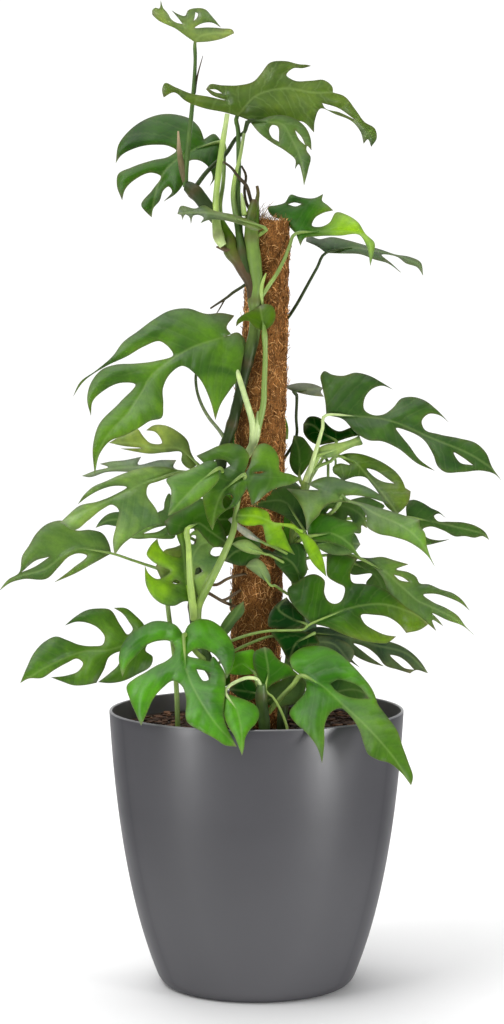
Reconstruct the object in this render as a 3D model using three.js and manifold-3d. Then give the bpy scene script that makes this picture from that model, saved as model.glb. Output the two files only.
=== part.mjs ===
// A mini monstera that climbs a coir pole, in a grey plastic planter.
// Millimetres, +Z up, the front along -Y. The origin is the middle of the flat foot of the pot.
import * as THREE from 'three';
import { mergeVertices } from 'three/addons/utils/BufferGeometryUtils.js';
import Module from 'manifold-3d';

const wasm = await Module();
wasm.setup();

// The planter and the soil in it
const RIM_RADIUS = 147.5;
const POT_HEIGHT = 276;
const FOOT_RADIUS = 86;
const HEEL_RADIUS = 100.5;
const HEEL_HEIGHT = 12;
const BELLY_RADIUS = 138.2;
const BELLY_HEIGHT = 106;
const POT_WALL = 3;
const POT_FLOOR = 5;
const POT_SIDES = 32;
const RIM_LIP = 1;
const HEEL_FLAT = 10;
const FLOOR_INSET = 5;
const WALL_STEPS = 5;
const HEEL_STEPS = 3;
const SOIL_LEVEL = 258;
const SOIL_RISE = 2.5;

// The coir pole leans a little to the right of the planter's middle
const POLE_RADIUS = 26;
const POLE_FOOT = new THREE.Vector3(-3.5, 0, 205);
const POLE_LOW = new THREE.Vector3(-2.5, 0, 250);
const POLE_TOP = new THREE.Vector3(8.5, 0, 764);
const STAKE_RADIUS = 4.2;
const STAKE_PROUD = 0.5;
const STAKE_FOOT = 27;
const POLE_SIDES = 14;
const POLE_STEP = 130;

// The blades, stalks and stems of the plant. A limb no thicker than a root has fewer sides, and
// a back leaf folds up along its midrib and droops.
const BLADE = 0.8;
const EDGE_STEP = 17;
const STRAIGHT = 0.05;
const STALK_SIDES = 5;
const STALK_STEP = 36;
const VINE_SIDES = 6;
const VINE_STEP = 28;
const ROOT_SIDES = 4;
const ROOT_RADIUS = 2.3;
const BACK_FOLD = 0.14;
const BACK_DROOP = 0.0016;

// The clearance that is kept wherever two pieces meet
const SEAT_GAP = 0.3;

// Every leaf is drawn as it is seen from this eye, on the upright plane through the origin.
// The eye's ray through a drawn point is then followed to the leaf's own depth.
const EYE = new THREE.Vector3(-4.5, -2400, 610);

// The stems, drawn in the same way: points [x, z, depth] and, where it changes, the radius.
const VINES = {
main_vine: {radius: 6, paths: [
  [[-70, 797, -9, 4], [-66, 795, -10], [-58, 788, -12, 6.5], [-51, 780, -14, 6.5], [-43, 768, -17, 6.5],
   [-33, 757, -21, 6.5], [-25, 747, -24], [-17, 735, -27], [-9, 715, -29], [-5, 700, -29], [-3, 685, -29]],
  [[-5, 757, -28, 6.5], [-4.5, 740, -28.5, 7], [-2, 720, -29, 7], [0, 700, -29, 6.5], [-2, 685, -29],
   [-1, 662, -30], [-4, 643, -30], [-12, 620, -28], [-19, 597, -26], [-25, 572, -24], [-30, 552, -22],
   [-34, 530, -20], [-40, 500, -20], [-48, 470, -22], [-56, 440, -26], [-61, 410, -32], [-62, 375, -38],
   [-60, 340, -43], [-56, 300, -47], [-50, 262, -50], [-49, 238, -50]],
  [[0, 552, -30, 3.5], [-6, 536, -26, 4], [-18, 520, -22, 4], [-34, 508, -20, 4]],
  [[-30, 738, -24, 4.5], [-36, 745, -22, 5], [-39.5, 758, -18, 4.2], [-41, 778, -14, 3.7],
   [-39.5, 798, -10, 3.7], [-37, 818, -7, 3.6], [-33.5, 840, -5, 3.2], [-31, 855, -4, 2.9],
   [-29, 868, -4, 2.3]],
  [[-4, 742, -27, 5], [-2.5, 762, -18, 5.6], [-1.5, 776, -12, 6], [-1, 789, -9, 5.4], [2, 796, -8, 2.2]],
  [[-3, 772, -12, 1.8], [-6, 784, -12, 1.8], [-10, 797, -13, 1.9], [-18, 806, -15, 1.5],
   [-25, 815, -16, 1.3], [-33, 821, -16, 1]],
  [[-4, 770, -12, 1.8], [-10, 780, -10, 1.6], [-12, 793, -9, 1.4], [-10.5, 807, -9, 1.3],
   [-15, 817, -9, 1]],
  [[-8, 702, -27, 1.8], [-15, 697, -24, 1.5], [-23, 692, -21, 1.5], [-30, 686.5, -20, 1.3],
   [-46, 676, -18, 0.9]],
  [[-31, 546, -22, 2.2], [-38, 556, -21, 1.8], [-47, 567, -20, 1.7], [-54, 579, -19, 1.6],
   [-59, 593, -18, 1.5], [-60.5, 608, -17, 1.4], [-58, 622, -16, 1.2]],
  [[-61, 399, -34, 1.8], [-46, 391, -32, 1.7], [-35, 384.5, -29, 1.6], [-26, 380.5, -24, 1.5],
   [-18, 378, -18, 1.3]],
  [[-62, 405, -33, 1.8], [-51, 402, -32, 1.7], [-40, 400.5, -31, 1.6], [-30, 406, -29, 1.5],
   [-20, 409.5, -26, 1.5], [-8, 412, -20, 1.4]],
  [[-35, 384.5, -29, 1.5], [-30, 386, -27, 1.5], [-22, 391, -23, 1.4], [-15, 396, -18, 1.2]],
  [[6, 680, -31, 1.4], [4.5, 692, -33.5, 2], [6, 702, -33, 1.9], [9.5, 711, -31.5, 0.6]],
  [[-71, 801, -9, 2], [-74, 815, -8, 2.5], [-76.5, 832, -7, 1.9], [-77.5, 851, -6, 0.7]],
  [[-10, 861, -4, 1.3], [-13, 845, -7, 1.6], [-16.5, 825, -12, 1.8], [-22, 803, -14, 2],
   [-23, 785, -16, 2.2], [-20, 765, -21, 2.4], [-15, 745, -26, 2.4]]]},
right_vine: {radius: 5, paths: [
  [[65, 537, -14, 3.2], [56, 520, -12, 3.8], [50, 503, -10, 4.5], [43, 480, -10], [38, 455, -12],
   [38, 430, -15], [40, 405, -18], [40, 380, -22], [37, 350, -29], [31, 310, -36], [26, 270, -41],
   [25, 238, -43]],
  [[60, 530, -13, 2], [66, 529, -11, 1.7], [71, 524, -9, 1.5], [71.5, 508, -7, 1.4], [73, 494, -6, 1]],
  [[66, 530, -12, 1.6], [76, 529, -9, 1.4], [79, 524, -7, 1.2], [77.5, 513, -6, 1]]]},
back_vine: {radius: 6, paths: [
  [[12, 735, 27, 4], [8, 680, 28], [12, 620, 28], [6, 560, 28], [9, 500, 28], [2, 440, 28], [2, 380, 29],
   [-2, 320, 30], [0, 260, 31], [0, 232, 31]]]},
front_stem: {radius: 5.5, paths: [
  [[5, 300, -97, 4], [5, 285, -95], [7, 270, -93], [8, 255, -92], [8, 238, -92]]]}
};

// The leaves in front. y is the depth of the leaf base and slope the change of depth for each
// millimetre right and up. fold and bend shape the blade. edge starts at the leaf base and
// touches the tip, which ends the rib. stalk is the leaf stalk from base to foot.
const LEAVES = {
leaf_top: {tone: 'olive', y: 5, slope: [0.1, -0.5], fold: 0.1, on: 'main_vine',
 rib: [[-56, 944], [-42, 947], [-22, 947]],
 edge: [[-60.7, 938, 1], [-66, 941.5], [-73, 946.5], [-80, 951.5], [-89, 955.5], [-97, 959.5],
  [-103, 965, 1], [-103, 969.5], [-99.5, 972], [-96.5, 971], [-94.5, 979.5, 1], [-92, 971.5], [-88, 967],
  [-83.5, 960], [-79, 957.3], [-73, 956, 1], [-76, 960], [-80, 964.8], [-84, 969.5, 1], [-77, 965.5],
  [-70.5, 964], [-68, 969], [-60, 971.5], [-51, 970.5], [-44, 963.5], [-35, 952.5, 1], [-44, 957.3],
  [-54, 956.5], [-61, 952.5], [-48, 952.7], [-34, 951.7], [-23, 949.5], [-22, 947, 1], [-33, 942],
  [-46, 939]],
 holes: [[[-60.3, 967.5, 1], [-58, 966.5], [-58.6, 962.5], [-62, 959, 1], [-61, 963]]],
 stalk: [[-60.5, 923, 3], [-61.3, 904, 1], [-64, 871, -2], [-67, 843, -4], [-70, 810, -8],
  [-70, 796, -9]],
 thick: [1.4, 2.6]},
leaf_crown: {tone: 'veined', y: 0, slope: [0.08, -0.4], fold: 0.05, on: 'main_vine',
 rib: [[0, 886], [28, 893], [56, 889], [75.5, 889]],
 edge: [[-19, 866, 1], [-32, 869.5], [-52, 873.5], [-70, 880.5], [-82, 889], [-92, 884, 1], [-93.5, 892],
  [-91, 898], [-80, 894], [-66, 888.3], [-48, 885], [-31, 881.5], [-45, 887], [-50, 892, 1], [-47, 896.3],
  [-34, 896], [-18, 896], [-2, 900.5], [4, 907], [13, 918], [28, 919.8], [43, 916.5], [50.5, 916],
  [54, 915, 1], [46, 912.8], [36, 912.5], [29.5, 906], [36, 901.2], [54, 900.5], [67, 901], [75.5, 893],
  [75.5, 889, 1], [86, 885.8], [98, 872], [107, 860], [117.5, 853], [119, 844], [113.5, 835.5, 1],
  [110, 843], [106, 838.5, 1], [103, 850], [95, 860], [78, 867.5], [63, 873], [57.5, 860], [57, 849.5, 1],
  [46, 860], [26, 859], [4, 858.5]],
 holes: [[[65, 878.5, 1], [80, 874], [97, 862.5, 1], [82, 869.5], [67, 874.5]],
  [[-46.5, 892, 1], [-40, 891.8], [-34, 888, 1], [-40, 888.8]]],
 stalk: [[-18, 850, 0], [-17.6, 815, -4], [-18.5, 787, -10], [-17, 765, -18], [-16, 742, -25]],
 thick: [2.2, 3.2]},
leaf_crown_front: {tone: 'mid', y: -16, slope: [0, 0.5], fold: 0.1, on: 'main_vine',
 rib: [[10, 860], [26, 857], [34, 844], [42, 828], [46, 812], [47, 797]],
 edge: [[-7, 861, 1], [4, 862.5], [15, 866], [28, 866.3], [40, 862], [49, 854], [53.5, 844],
  [54.5, 832, 1], [50, 836.5], [49.5, 832.5], [53.5, 826], [51.5, 814], [47, 797, 1], [45, 809],
  [41.5, 818.5], [38, 813.5, 1], [38.5, 822.5], [30, 830.5], [14, 840.5], [2, 850]],
 holes: [[[12.5, 852], [15.5, 857], [19.5, 856.5], [22.3, 840.5, 1], [15, 845]],
  [[38, 852, 1], [44, 846], [48.3, 837, 1], [42, 843]]],
 stalk: [[-12, 850, -6], [-21, 843, 9], [-30, 829, 8], [-40, 820, 4], [-50, 810, -4], [-59, 798, -10]],
 thick: [1.9, 2.4]},
leaf_upper_left: {tone: 'deep', y: 18, slope: [-0.1, 0.4], fold: 0.15, on: 'main_vine',
 rib: [[-60, 834], [-89, 814], [-100, 790], [-104, 766]],
 edge: [[-34, 840, 1], [-42, 848.3], [-52, 843, 1], [-56, 853.5], [-64, 862], [-78, 867], [-94, 867.5],
  [-110, 862.5], [-127, 850.5], [-136.5, 838], [-139.5, 819.5, 1], [-135, 826], [-120, 834.3],
  [-100, 837.6], [-86, 836], [-79.5, 832], [-86, 826.5], [-103, 822.3], [-124, 815.3], [-137.5, 808],
  [-138.5, 798], [-133.3, 782.7, 1], [-130.5, 793], [-119, 804.3], [-103, 810], [-95.2, 807], [-103, 793.5],
  [-114, 776.5], [-111, 772.7], [-104, 766, 1], [-102.5, 774.5], [-96, 782.5], [-92, 793], [-87, 796.5],
  [-84, 793], [-92, 781.7, 1], [-79, 790.3], [-70, 804], [-66, 822], [-58, 822.5], [-48, 816], [-43.5, 805],
  [-46.7, 796.4, 1], [-40, 806], [-33, 824]],
 stalk: [[-32, 822, 10], [-33, 800, 0], [-36, 778, -10], [-34, 762, -16]],
 thick: [1.8, 2.4]},
leaf_upper_edge: {tone: 'grey', y: -40, slope: [0.5, 2], on: 'main_vine',
 rib: [[-20, 764], [-50, 770.5], [-78.5, 769.5]],
 edge: [[8, 756, 1], [-8, 764], [-24, 769], [-42, 772.6], [-53, 777.8], [-60, 774.8], [-76, 776.5],
  [-78.5, 769.5, 1], [-75, 768.6], [-73.5, 763.5, 1], [-70.5, 769], [-67.3, 767.5], [-65, 759.5, 1],
  [-62.3, 768], [-56.5, 768.4], [-52.5, 766], [-55.5, 760.5, 1], [-48, 763.5], [-36, 763.7], [-14, 758.5],
  [0, 753]],
 stalk: [[7, 752, -34], [1, 748, -28]],
 thick: [1.8, 2.2]},
leaf_upper_right: {tone: 'fresh', y: -12, slope: [-0.25, 0.6], fold: 0.1, on: 'main_vine',
 rib: [[62, 752], [92, 752], [107, 747], [113, 737], [113, 718]],
 edge: [[39, 750, 1], [25, 763.5], [14, 768.5], [11, 776], [20, 778], [28, 780.5], [34, 788.5],
  [42, 786.3], [58, 785.2], [66, 789, 1], [65, 782.5], [70, 778.5], [76, 773, 1], [66, 770.5], [57.5, 765],
  [55, 758], [64, 756.8], [72, 760.5], [79, 771], [90, 768.3], [101, 761], [108, 750], [117.5, 740],
  [116, 730], [113, 718, 1], [109, 738], [103, 748], [82, 748], [60, 747.3], [47, 745], [43.5, 738, 1]],
 holes: [[[31, 779, 1], [37, 780.8], [45, 779.3, 1], [39, 776.8]]],
 stalk: [[33, 738, -18], [28, 725, -24], [20, 710, -30], [12, 698, -33], [4, 686, -31]],
 thick: [1.7, 2.4]},
leaf_right_edge: {tone: 'grey', y: 0, slope: [0.25, 1.6], on: 'back_vine',
 rib: [[95, 736], [122, 732], [140, 728.2], [152, 723.5], [161.5, 718.5], [165.5, 708.5]],
 edge: [[69, 731, 1], [61, 737], [49, 742.5, 1], [50, 747.8], [62, 744.5], [74, 746.5], [90, 743.5],
  [108, 738.5], [124, 734], [138, 729.3], [152, 727], [163, 721.5], [165.5, 708.5, 1], [160, 716.5],
  [148, 721], [140, 727], [124, 729], [134, 720.5], [143.5, 711.5, 1], [130, 721], [118, 724.3],
  [104, 729.5], [84, 730.5]],
 stalk: [[60, 716, 2], [50, 698, 6], [40, 680, 12], [29, 664, 22], [13, 648, 28]],
 thick: [1.5, 2]},
leaf_pole_young: {tone: 'fresh', y: -44, slope: [0, 0.3], fold: -0.2, on: 'main_vine',
 rib: [[6, 664], [3, 678.5]],
 edge: [[8, 654, 1], [-1, 656.5], [-9, 664], [-15, 662.5], [-20.5, 658, 1], [-19.5, 664], [-14, 669.5],
  [-7, 673], [3, 678.5, 1], [9, 680.5], [15.5, 678.5], [19, 670], [16.5, 661]],
 stalk: [[9, 630, -40], [8, 600, -37], [7, 580, -35], [1, 553, -30.5]],
 thick: [2.4, 3.6]},
leaf_big_left: {tone: 'deep', y: -34, slope: [0.12, 0.45], fold: 0.12, on: 'main_vine',
 rib: [[-67, 636], [-102, 612], [-115, 592], [-130, 570], [-147, 552], [-158.5, 530], [-161.5, 509]],
 edge: [[-31.5, 648, 1], [-25.5, 650.3], [-29.5, 656], [-22, 669, 1], [-34, 671.5], [-50, 670.7],
  [-68, 676], [-86, 674], [-102, 665.3], [-118, 653.5], [-133, 642.3], [-143, 629], [-160, 614.3],
  [-176, 602.5], [-183, 588, 1], [-173, 602.5], [-152, 617.5], [-128, 629], [-112, 638.3], [-96, 643.5],
  [-83, 629.7], [-100, 624], [-122, 621.3], [-140, 620.3], [-153, 616], [-165, 602], [-168.8, 586],
  [-165, 569, 1], [-163, 584], [-152, 594.5], [-136, 602], [-121, 601], [-136, 583], [-158, 559],
  [-163, 541], [-161.5, 509, 1], [-156, 532], [-147, 543.5], [-130, 550.5], [-117.5, 557], [-106, 564.3],
  [-94.5, 567.5], [-92.8, 580], [-93, 597], [-86, 611], [-74, 619], [-60, 610], [-46, 584], [-41, 565, 1],
  [-36, 580], [-26, 595.5], [-18, 606.5], [-14, 625], [-11.5, 645], [-18, 652]],
 stalk: [[-25, 628, -38], [-18, 605, -41], [-10, 585, -38], [-3, 562, -33], [-4, 540, -26]],
 thick: [2.6, 3.8]},
leaf_olive_left: {tone: 'olive', y: -22, slope: [0.1, 0.5], on: 'main_vine',
 rib: [[-69.5, 531], [-80, 537.5], [-100, 537], [-118, 541.5], [-147, 542.5]],
 edge: [[-58.5, 521, 1], [-65, 532], [-69, 545], [-79, 554], [-92, 560], [-103, 559.8], [-110, 555, 1],
  [-101, 553.3], [-94.5, 542], [-106, 542.3], [-113, 549], [-118.5, 556.3], [-132, 551], [-147, 542.5, 1],
  [-133, 539.4], [-115, 537.3], [-135.5, 536.7, 1], [-120, 533.5], [-106, 531.6], [-90, 533],
  [-74.5, 532.3], [-75, 524.5], [-66, 516.5]],
 stalk: [[-52, 512, -22], [-40, 505, -20]],
 thick: [1.6, 2.2]},
leaf_left_edge: {tone: 'grey', y: 4, slope: [0.2, 1.5], on: 'main_vine',
 rib: [[-105, 518], [-140, 517], [-174, 509.5]],
 edge: [[-75, 514, 1], [-83, 518.5], [-80, 525.2, 1], [-96, 525.2], [-118.5, 522], [-115, 528.5, 1],
  [-132, 525], [-146, 523.7], [-156, 521.5, 1], [-148, 518.5], [-162, 514.3], [-174, 509.5, 1],
  [-168, 508.3], [-150, 513.3], [-125, 513.5], [-100, 512], [-86, 511]],
 stalk: [[-62, 513, -2], [-50, 516, -8], [-38, 516, -20]],
 thick: [1.5, 2]},
leaf_long_left: {tone: 'mid', y: -20, slope: [0.25, 0.7], on: 'main_vine',
 rib: [[-110, 503], [-145, 486], [-170, 475], [-196, 463]],
 edge: [[-76, 513, 1], [-86, 517.3], [-100, 518.7], [-118, 516.5], [-134, 511.3], [-150, 504.3],
  [-164, 498], [-173, 489.5], [-178.5, 481, 1], [-168, 489], [-155, 496], [-142, 499.5], [-129.5, 498.3],
  [-142, 490.5], [-158, 484], [-178, 479], [-188, 470.5], [-196, 463, 1], [-181.5, 455.5], [-168, 465],
  [-153, 476.7], [-144, 480.7], [-138.5, 477], [-140, 461], [-143.5, 445], [-142, 430, 1], [-134, 440.5],
  [-121, 450.5], [-108, 458.5], [-95, 462.5], [-100, 475.5], [-109.8, 493], [-108, 500], [-98, 504],
  [-87, 508]],
 stalk: [[-62, 506, -18], [-42, 497, -20]],
 thick: [1.7, 2.2]},
leaf_far_left: {tone: 'deep', y: -12, slope: [0.2, 0.45], on: 'main_vine',
 rib: [[-175, 437], [-195, 428], [-212, 416], [-236, 409.5], [-247, 404.5], [-258, 394]],
 edge: [[-145, 432, 1], [-148, 443], [-154, 452], [-166, 455.5], [-181, 455.3], [-192, 464.3],
  [-210, 461], [-220, 452], [-228, 439], [-234, 430], [-238, 412], [-248, 406], [-258, 394, 1],
  [-246, 402.5], [-234, 406], [-209, 407], [-198, 418], [-187, 429], [-178, 432], [-170, 430.3],
  [-184, 417], [-202.5, 402.8, 1], [-182, 411.5], [-162, 422.5]],
 holes: [[[-207, 428.5, 1], [-220, 425], [-235, 413, 1], [-222, 418.5]]],
 stalk: [[-125, 425.5, -11], [-110, 420.5, -10], [-97, 416, -12], [-80, 407, -18], [-62, 398, -28]],
 thick: [1.3, 2]},
leaf_left_slit: {tone: 'dark', y: -18, slope: [0.2, 0.4], on: 'main_vine',
 rib: [[-92, 451], [-105, 449.5], [-118, 449], [-131, 448]],
 edge: [[-80, 455, 1], [-79, 470], [-84, 488], [-87, 492], [-92, 483], [-93, 476], [-98, 473.5],
  [-101, 463.5], [-113, 459], [-122, 453.7], [-131, 448, 1], [-118, 446.3], [-104, 447.2], [-91, 446.3],
  [-82, 447.5]],
 holes: [[[-113, 451.8, 1], [-101, 457.5], [-88.5, 460, 1], [-98, 454]]],
 stalk: [[-70, 450, -22], [-56, 442, -26]],
 thick: [1.4, 1.8]},
leaf_shade_left_edge: {tone: 'dark', y: -10, slope: [0, 0.2], on: 'main_vine', fused: true,
 rib: [[-132, 466], [-148, 465], [-161, 457.5]],
 edge: [[-124, 465, 1], [-128, 459], [-140, 459], [-150, 460.5], [-161, 457.5, 1], [-156, 465],
  [-148, 471.5], [-138, 473.5], [-129, 471]],
 stalk: [[-100, 461.5, -7], [-75, 462.5, -12], [-50, 467, -22]],
 thick: [1.3, 1.6]},
leaf_centre: {tone: 'deep', y: -56, slope: [0, 0.35], fold: 0.12, on: 'main_vine',
 rib: [[-32, 496], [-41, 476], [-44, 455]],
 edge: [[-12, 511, 1], [-7, 520], [-4, 533, 1], [1, 540], [8, 542], [16, 538], [22, 528], [24, 514],
  [34, 511.3], [45, 506.5, 1], [36, 501.5], [22, 498], [11, 492.5], [3, 485.5], [-5, 480, 1], [-6.5, 488],
  [-9.5, 497, 1], [-15, 488], [-20, 480], [-31, 474.7], [-39, 467], [-44, 455, 1], [-48.5, 464], [-52, 477],
  [-54, 494], [-50, 511], [-52, 521], [-60, 529.5, 1], [-50, 534], [-38, 539.5], [-27, 542], [-16, 539.8],
  [-8, 532]],
 holes: [[[-43, 524], [-31, 524.7], [-26.3, 519.8, 1], [-33.5, 515.5, 1], [-41, 517.5]],
  [[-33.5, 486], [-29, 491], [-24.5, 490], [-26.5, 480], [-31, 476.5]],
  [[-3.5, 512.3, 1], [2, 514], [8.5, 513.7, 1], [3, 511.6]]],
 stalk: [[-17, 492, -52], [-21, 470, -52], [-24, 452, -60], [-35, 426, -66], [-48, 400, -60],
  [-58, 380, -46], [-60, 362, -40]],
 thick: [2, 4.6]},
leaf_centre_left: {tone: 'bright', y: -72, slope: [0.1, 0.6], on: 'main_vine',
 rib: [[-55, 505], [-72, 488], [-88.5, 469.5]],
 edge: [[-38, 517, 1], [-41, 524], [-48, 524.3], [-58, 520], [-70, 514.7], [-84, 509.5], [-90, 506],
  [-85.5, 496], [-86, 484], [-88.5, 469.5, 1], [-78, 474.3], [-64, 481.5], [-54, 488.5], [-44, 497.5],
  [-37, 507.5]],
 stalk: [[-34, 512, -46], [-36, 502, -33], [-42, 488, -22]],
 thick: [1.8, 2.2]},
leaf_low_centre: {tone: 'dark', y: -56, slope: [0, 0.5], fold: 0.1, on: 'main_vine',
 rib: [[-58, 462], [-45, 453], [-28, 441]],
 edge: [[-69, 456, 1], [-78, 451], [-86, 450], [-92, 463.5, 1], [-84, 471], [-68, 480], [-56, 487],
  [-47, 483], [-39, 468], [-31, 452], [-28, 441, 1], [-43, 438.5], [-52, 447], [-61, 456.5]],
 stalk: [[-68, 440, -64], [-67, 420, -66], [-66, 402, -62], [-64, 383, -52], [-62, 364, -40]],
 thick: [1.4, 3.2]},
leaf_between: {tone: 'mid', y: -44, slope: [0, 0.2], on: 'main_vine',
 rib: [[-65, 410], [-63.5, 428], [-56, 440], [-44, 444], [-32, 446]],
 edge: [[-62, 392, 1], [-67, 405], [-68, 430], [-66, 452], [-56, 457], [-44, 450], [-32, 446, 1],
  [-36, 438.5], [-43.5, 437.5], [-46, 431.5], [-41, 429], [-36, 430], [-44, 415], [-52, 400], [-57, 389]],
 holes: [[[-66, 444, 1], [-64.5, 441], [-61.5, 441.5], [-60, 447, 1], [-61, 450], [-65, 449.5]],
  [[-61.5, 410.5, 1], [-59, 411], [-54, 414, 1], [-57, 418], [-60, 417.3]]],
 stalk: [[-61, 384, -40]],
 thick: [1.6, 2.2]},
leaf_behind_pole: {tone: 'dark', y: 36, slope: [0, 0.2], on: 'back_vine', fused: true,
 rib: [[-28, 466], [-48, 466], [-66, 469]],
 edge: [[-16, 465, 1], [-20, 456], [-28, 450], [-40, 445], [-55, 446], [-62, 455], [-66, 469, 1],
  [-56, 484], [-46, 491], [-33, 491], [-20, 479]],
 stalk: [[-5, 468, 32], [4, 469, 29]],
 thick: [1.5, 1.8]},
leaf_crescents: {tone: 'lime', y: -46, slope: [0, 0.15], on: 'main_vine',
 rib: [[-70, 400], [-72.5, 428], [-76, 450], [-78, 465]],
 edge: [[-66, 384, 1], [-73, 383.5], [-82, 379.3], [-94, 381], [-104, 388.5], [-110, 399],
  [-111.8, 420, 1], [-107.5, 411.5], [-99, 406.3], [-93, 408], [-86, 414], [-96, 419], [-106, 425.5],
  [-109.8, 430.5], [-106.5, 439], [-99, 447, 1], [-97.3, 440], [-92, 433], [-84, 429.5], [-76.3, 428.5],
  [-75.5, 437], [-79, 447], [-81, 456], [-78, 465, 1], [-72, 455], [-70, 435], [-68.5, 415], [-67, 398]],
 holes: [[[-85.5, 403.3, 1], [-81, 405.6], [-76, 402.6, 1], [-80.5, 401.3]]],
 stalk: [[-64, 374, -42]],
 thick: [1.8, 2.4]},
leaf_behind_crescents: {tone: 'dark', y: -28, slope: [0, 0.3], on: 'soil',
 rib: [[-85, 412], [-101, 418.5]],
 edge: [[-72, 400, 1], [-95, 405, 1], [-101, 418.5, 1], [-96, 428], [-92, 435], [-82, 438], [-73, 441],
  [-69, 420]],
 stalk: [[-84, 398, -33], [-89, 388, -37], [-88, 372, -38], [-85, 350, -40], [-82, 325, -44],
  [-80, 290, -50], [-79, 258, -54], [-79, 240, -54]],
 thick: [2.2, 2.6]},
leaf_lime_young: {tone: 'lime', y: -64, slope: [0, 0.4], on: 'right_vine',
 rib: [[39, 457], [30, 460], [18, 462], [0, 469], [-20.3, 470]],
 edge: [[45, 454, 1], [37, 461], [26, 462.2], [15, 464.5], [11.5, 473], [2, 477.5], [-9, 478.3],
  [-17, 475.5], [-20.3, 470, 1], [-19, 463.5], [-14, 460.5], [-4, 459.5], [5.5, 460], [8, 451],
  [10.5, 442.5], [24, 437], [38.5, 430.5, 1], [33, 440], [29, 450], [25.7, 458.8], [33, 457.5], [41, 452],
  [45, 445], [49, 435], [56, 422.5], [70, 408.5, 1], [67.5, 423], [63.5, 435], [57, 445], [50.5, 450.5]],
 stalk: [[43, 454, -50], [38, 449, -16]],
 thick: [1.7, 2.2]},
leaf_dark_centre: {tone: 'dark', y: -34, slope: [0, 0.3], on: 'right_vine',
 rib: [[30, 482], [10, 484], [-4, 480]],
 edge: [[49, 453, 1], [43, 457], [36, 463], [26, 470], [12, 476], [-4, 480, 1], [6, 488], [16, 495.3],
  [27, 500], [38, 500.5], [46, 495], [50.5, 484], [53, 470]],
 stalk: [[46, 448, -20], [38, 445, -12]],
 thick: [1.6, 2]},
leaf_grey_right: {tone: 'grey', y: -46, slope: [-0.1, 0.75], fold: 0.05, on: 'right_vine',
 rib: [[90, 485.2], [97, 482.8], [104, 480.5], [118, 472], [148, 458], [166, 441], [178.5, 418.5]],
 edge: [[86, 489.3, 1], [96, 490.2], [109, 488.6], [121, 485.3], [132, 481.5, 1], [123, 490.5],
  [112, 497.5], [101, 501.8], [89, 504.5], [77, 508.3], [66, 508], [57, 504.6], [51, 501.3, 1], [56, 498.6],
  [62, 495.4, 1], [46, 495.7], [30, 496.8, 1], [38, 489], [45, 478], [49, 465], [50, 454, 1], [55, 463],
  [62, 470], [66, 477], [72, 481.6], [83, 483.4], [94, 482.3], [104, 478], [109.5, 470], [110, 459.5],
  [120, 452.3], [136, 448.7], [151, 444], [162, 437.5], [171, 429.5], [178.5, 418.5, 1], [173.5, 429.5],
  [170, 441], [168.5, 452], [163, 460.5], [163, 465.8, 1], [148, 469.8], [134, 474.3], [120, 478.2],
  [107, 482.3], [95, 485]],
 stalk: [[80, 478, -40], [66, 466, -33], [50, 459, -22], [39, 456, -15]],
 thick: [1.8, 2.4]},
leaf_dark_slits: {tone: 'dark', y: -26, slope: [0, 0.3], on: 'right_vine',
 rib: [[70, 479], [82, 480], [98, 475], [107, 467], [110.5, 457]],
 edge: [[62, 474, 1], [69, 481.5], [80, 484.8], [90, 484.5], [98, 486.8], [108, 488.5], [120, 484.5],
  [128, 479], [122, 474], [110, 472], [110.5, 457, 1], [105, 460], [104.5, 452.8], [90, 455], [74, 461],
  [64, 467]],
 holes: [[[69.5, 472.3, 1], [73.5, 476.8], [79.5, 473.3, 1]],
  [[89.5, 464, 1], [91.5, 470], [96, 464, 1]]],
 stalk: [[50, 467, -19], [40, 467, -13]],
 thick: [1.5, 1.8]},
leaf_right_mid: {tone: 'deep', y: -54, slope: [0, 0.4], fold: 0.1, on: 'right_vine',
 rib: [[74, 452], [92, 442], [106, 426]],
 edge: [[52, 449, 1], [50.5, 456], [54.5, 465], [62, 471.3], [73, 470.2], [86, 465.8], [98, 462.5],
  [104.5, 453.5, 1], [98.5, 453], [95.5, 447], [97, 439.5], [101, 432], [106, 426, 1], [97.5, 431.5],
  [89, 437.5], [78, 441.6], [67, 444.2], [57, 445.5]],
 stalk: [[48, 448, -40], [39, 441, -18]],
 thick: [1.7, 2]},
leaf_shade_mid_right: {tone: 'dark', y: -42, slope: [0, 0.1], on: 'right_vine', fused: true,
 rib: [[70, 443], [88, 443], [104, 441]],
 edge: [[58, 441, 1], [56, 449], [64, 455], [80, 456.5], [97, 453], [104, 441, 1], [96, 432], [84, 430],
  [71, 432], [62, 437]],
 stalk: [[50, 437, -31], [39, 430, -17]],
 thick: [1.5, 1.8]},
leaf_olive_right: {tone: 'olivedark', y: -14, slope: [-0.1, 0.5], fold: 0.1, on: 'right_vine',
 rib: [[98, 523], [112, 508], [128, 489], [141, 471.5]],
 edge: [[81, 529.5, 1], [90, 532], [103, 531.5], [116, 527.5], [129, 521], [140, 512.5], [146.5, 503],
  [148.5, 497.5, 1], [154, 494, 1], [152.5, 485], [148.5, 478.5], [141, 471.5, 1], [134, 475], [128, 481],
  [123, 490], [116, 500], [108, 508.2], [99, 508.8], [92.5, 507], [86.5, 504.3, 1], [81, 509.5],
  [76.5, 513], [76, 518], [82, 521.8], [93, 520.5]],
 holes: [[[110, 516.8], [119, 514.6], [129, 508], [137.5, 501.8, 1], [126, 503.8], [116, 509.7]]],
 stalk: [[74, 524, -14], [64, 520, -13], [54, 514, -12]],
 thick: [1.6, 2]},
leaf_rolled: {tone: 'pale', y: -22, slope: [0.1, 0.4], on: 'right_vine', fused: true,
 rib: [[80, 536], [104, 545.5]],
 edge: [[62, 530, 1], [63, 537.5], [70, 541], [84, 542.8], [97, 547], [102.5, 550, 1], [104, 545.5, 1],
  [106, 541.5], [98, 539], [88, 534.5], [78, 528.8], [70, 527.5]],
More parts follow.
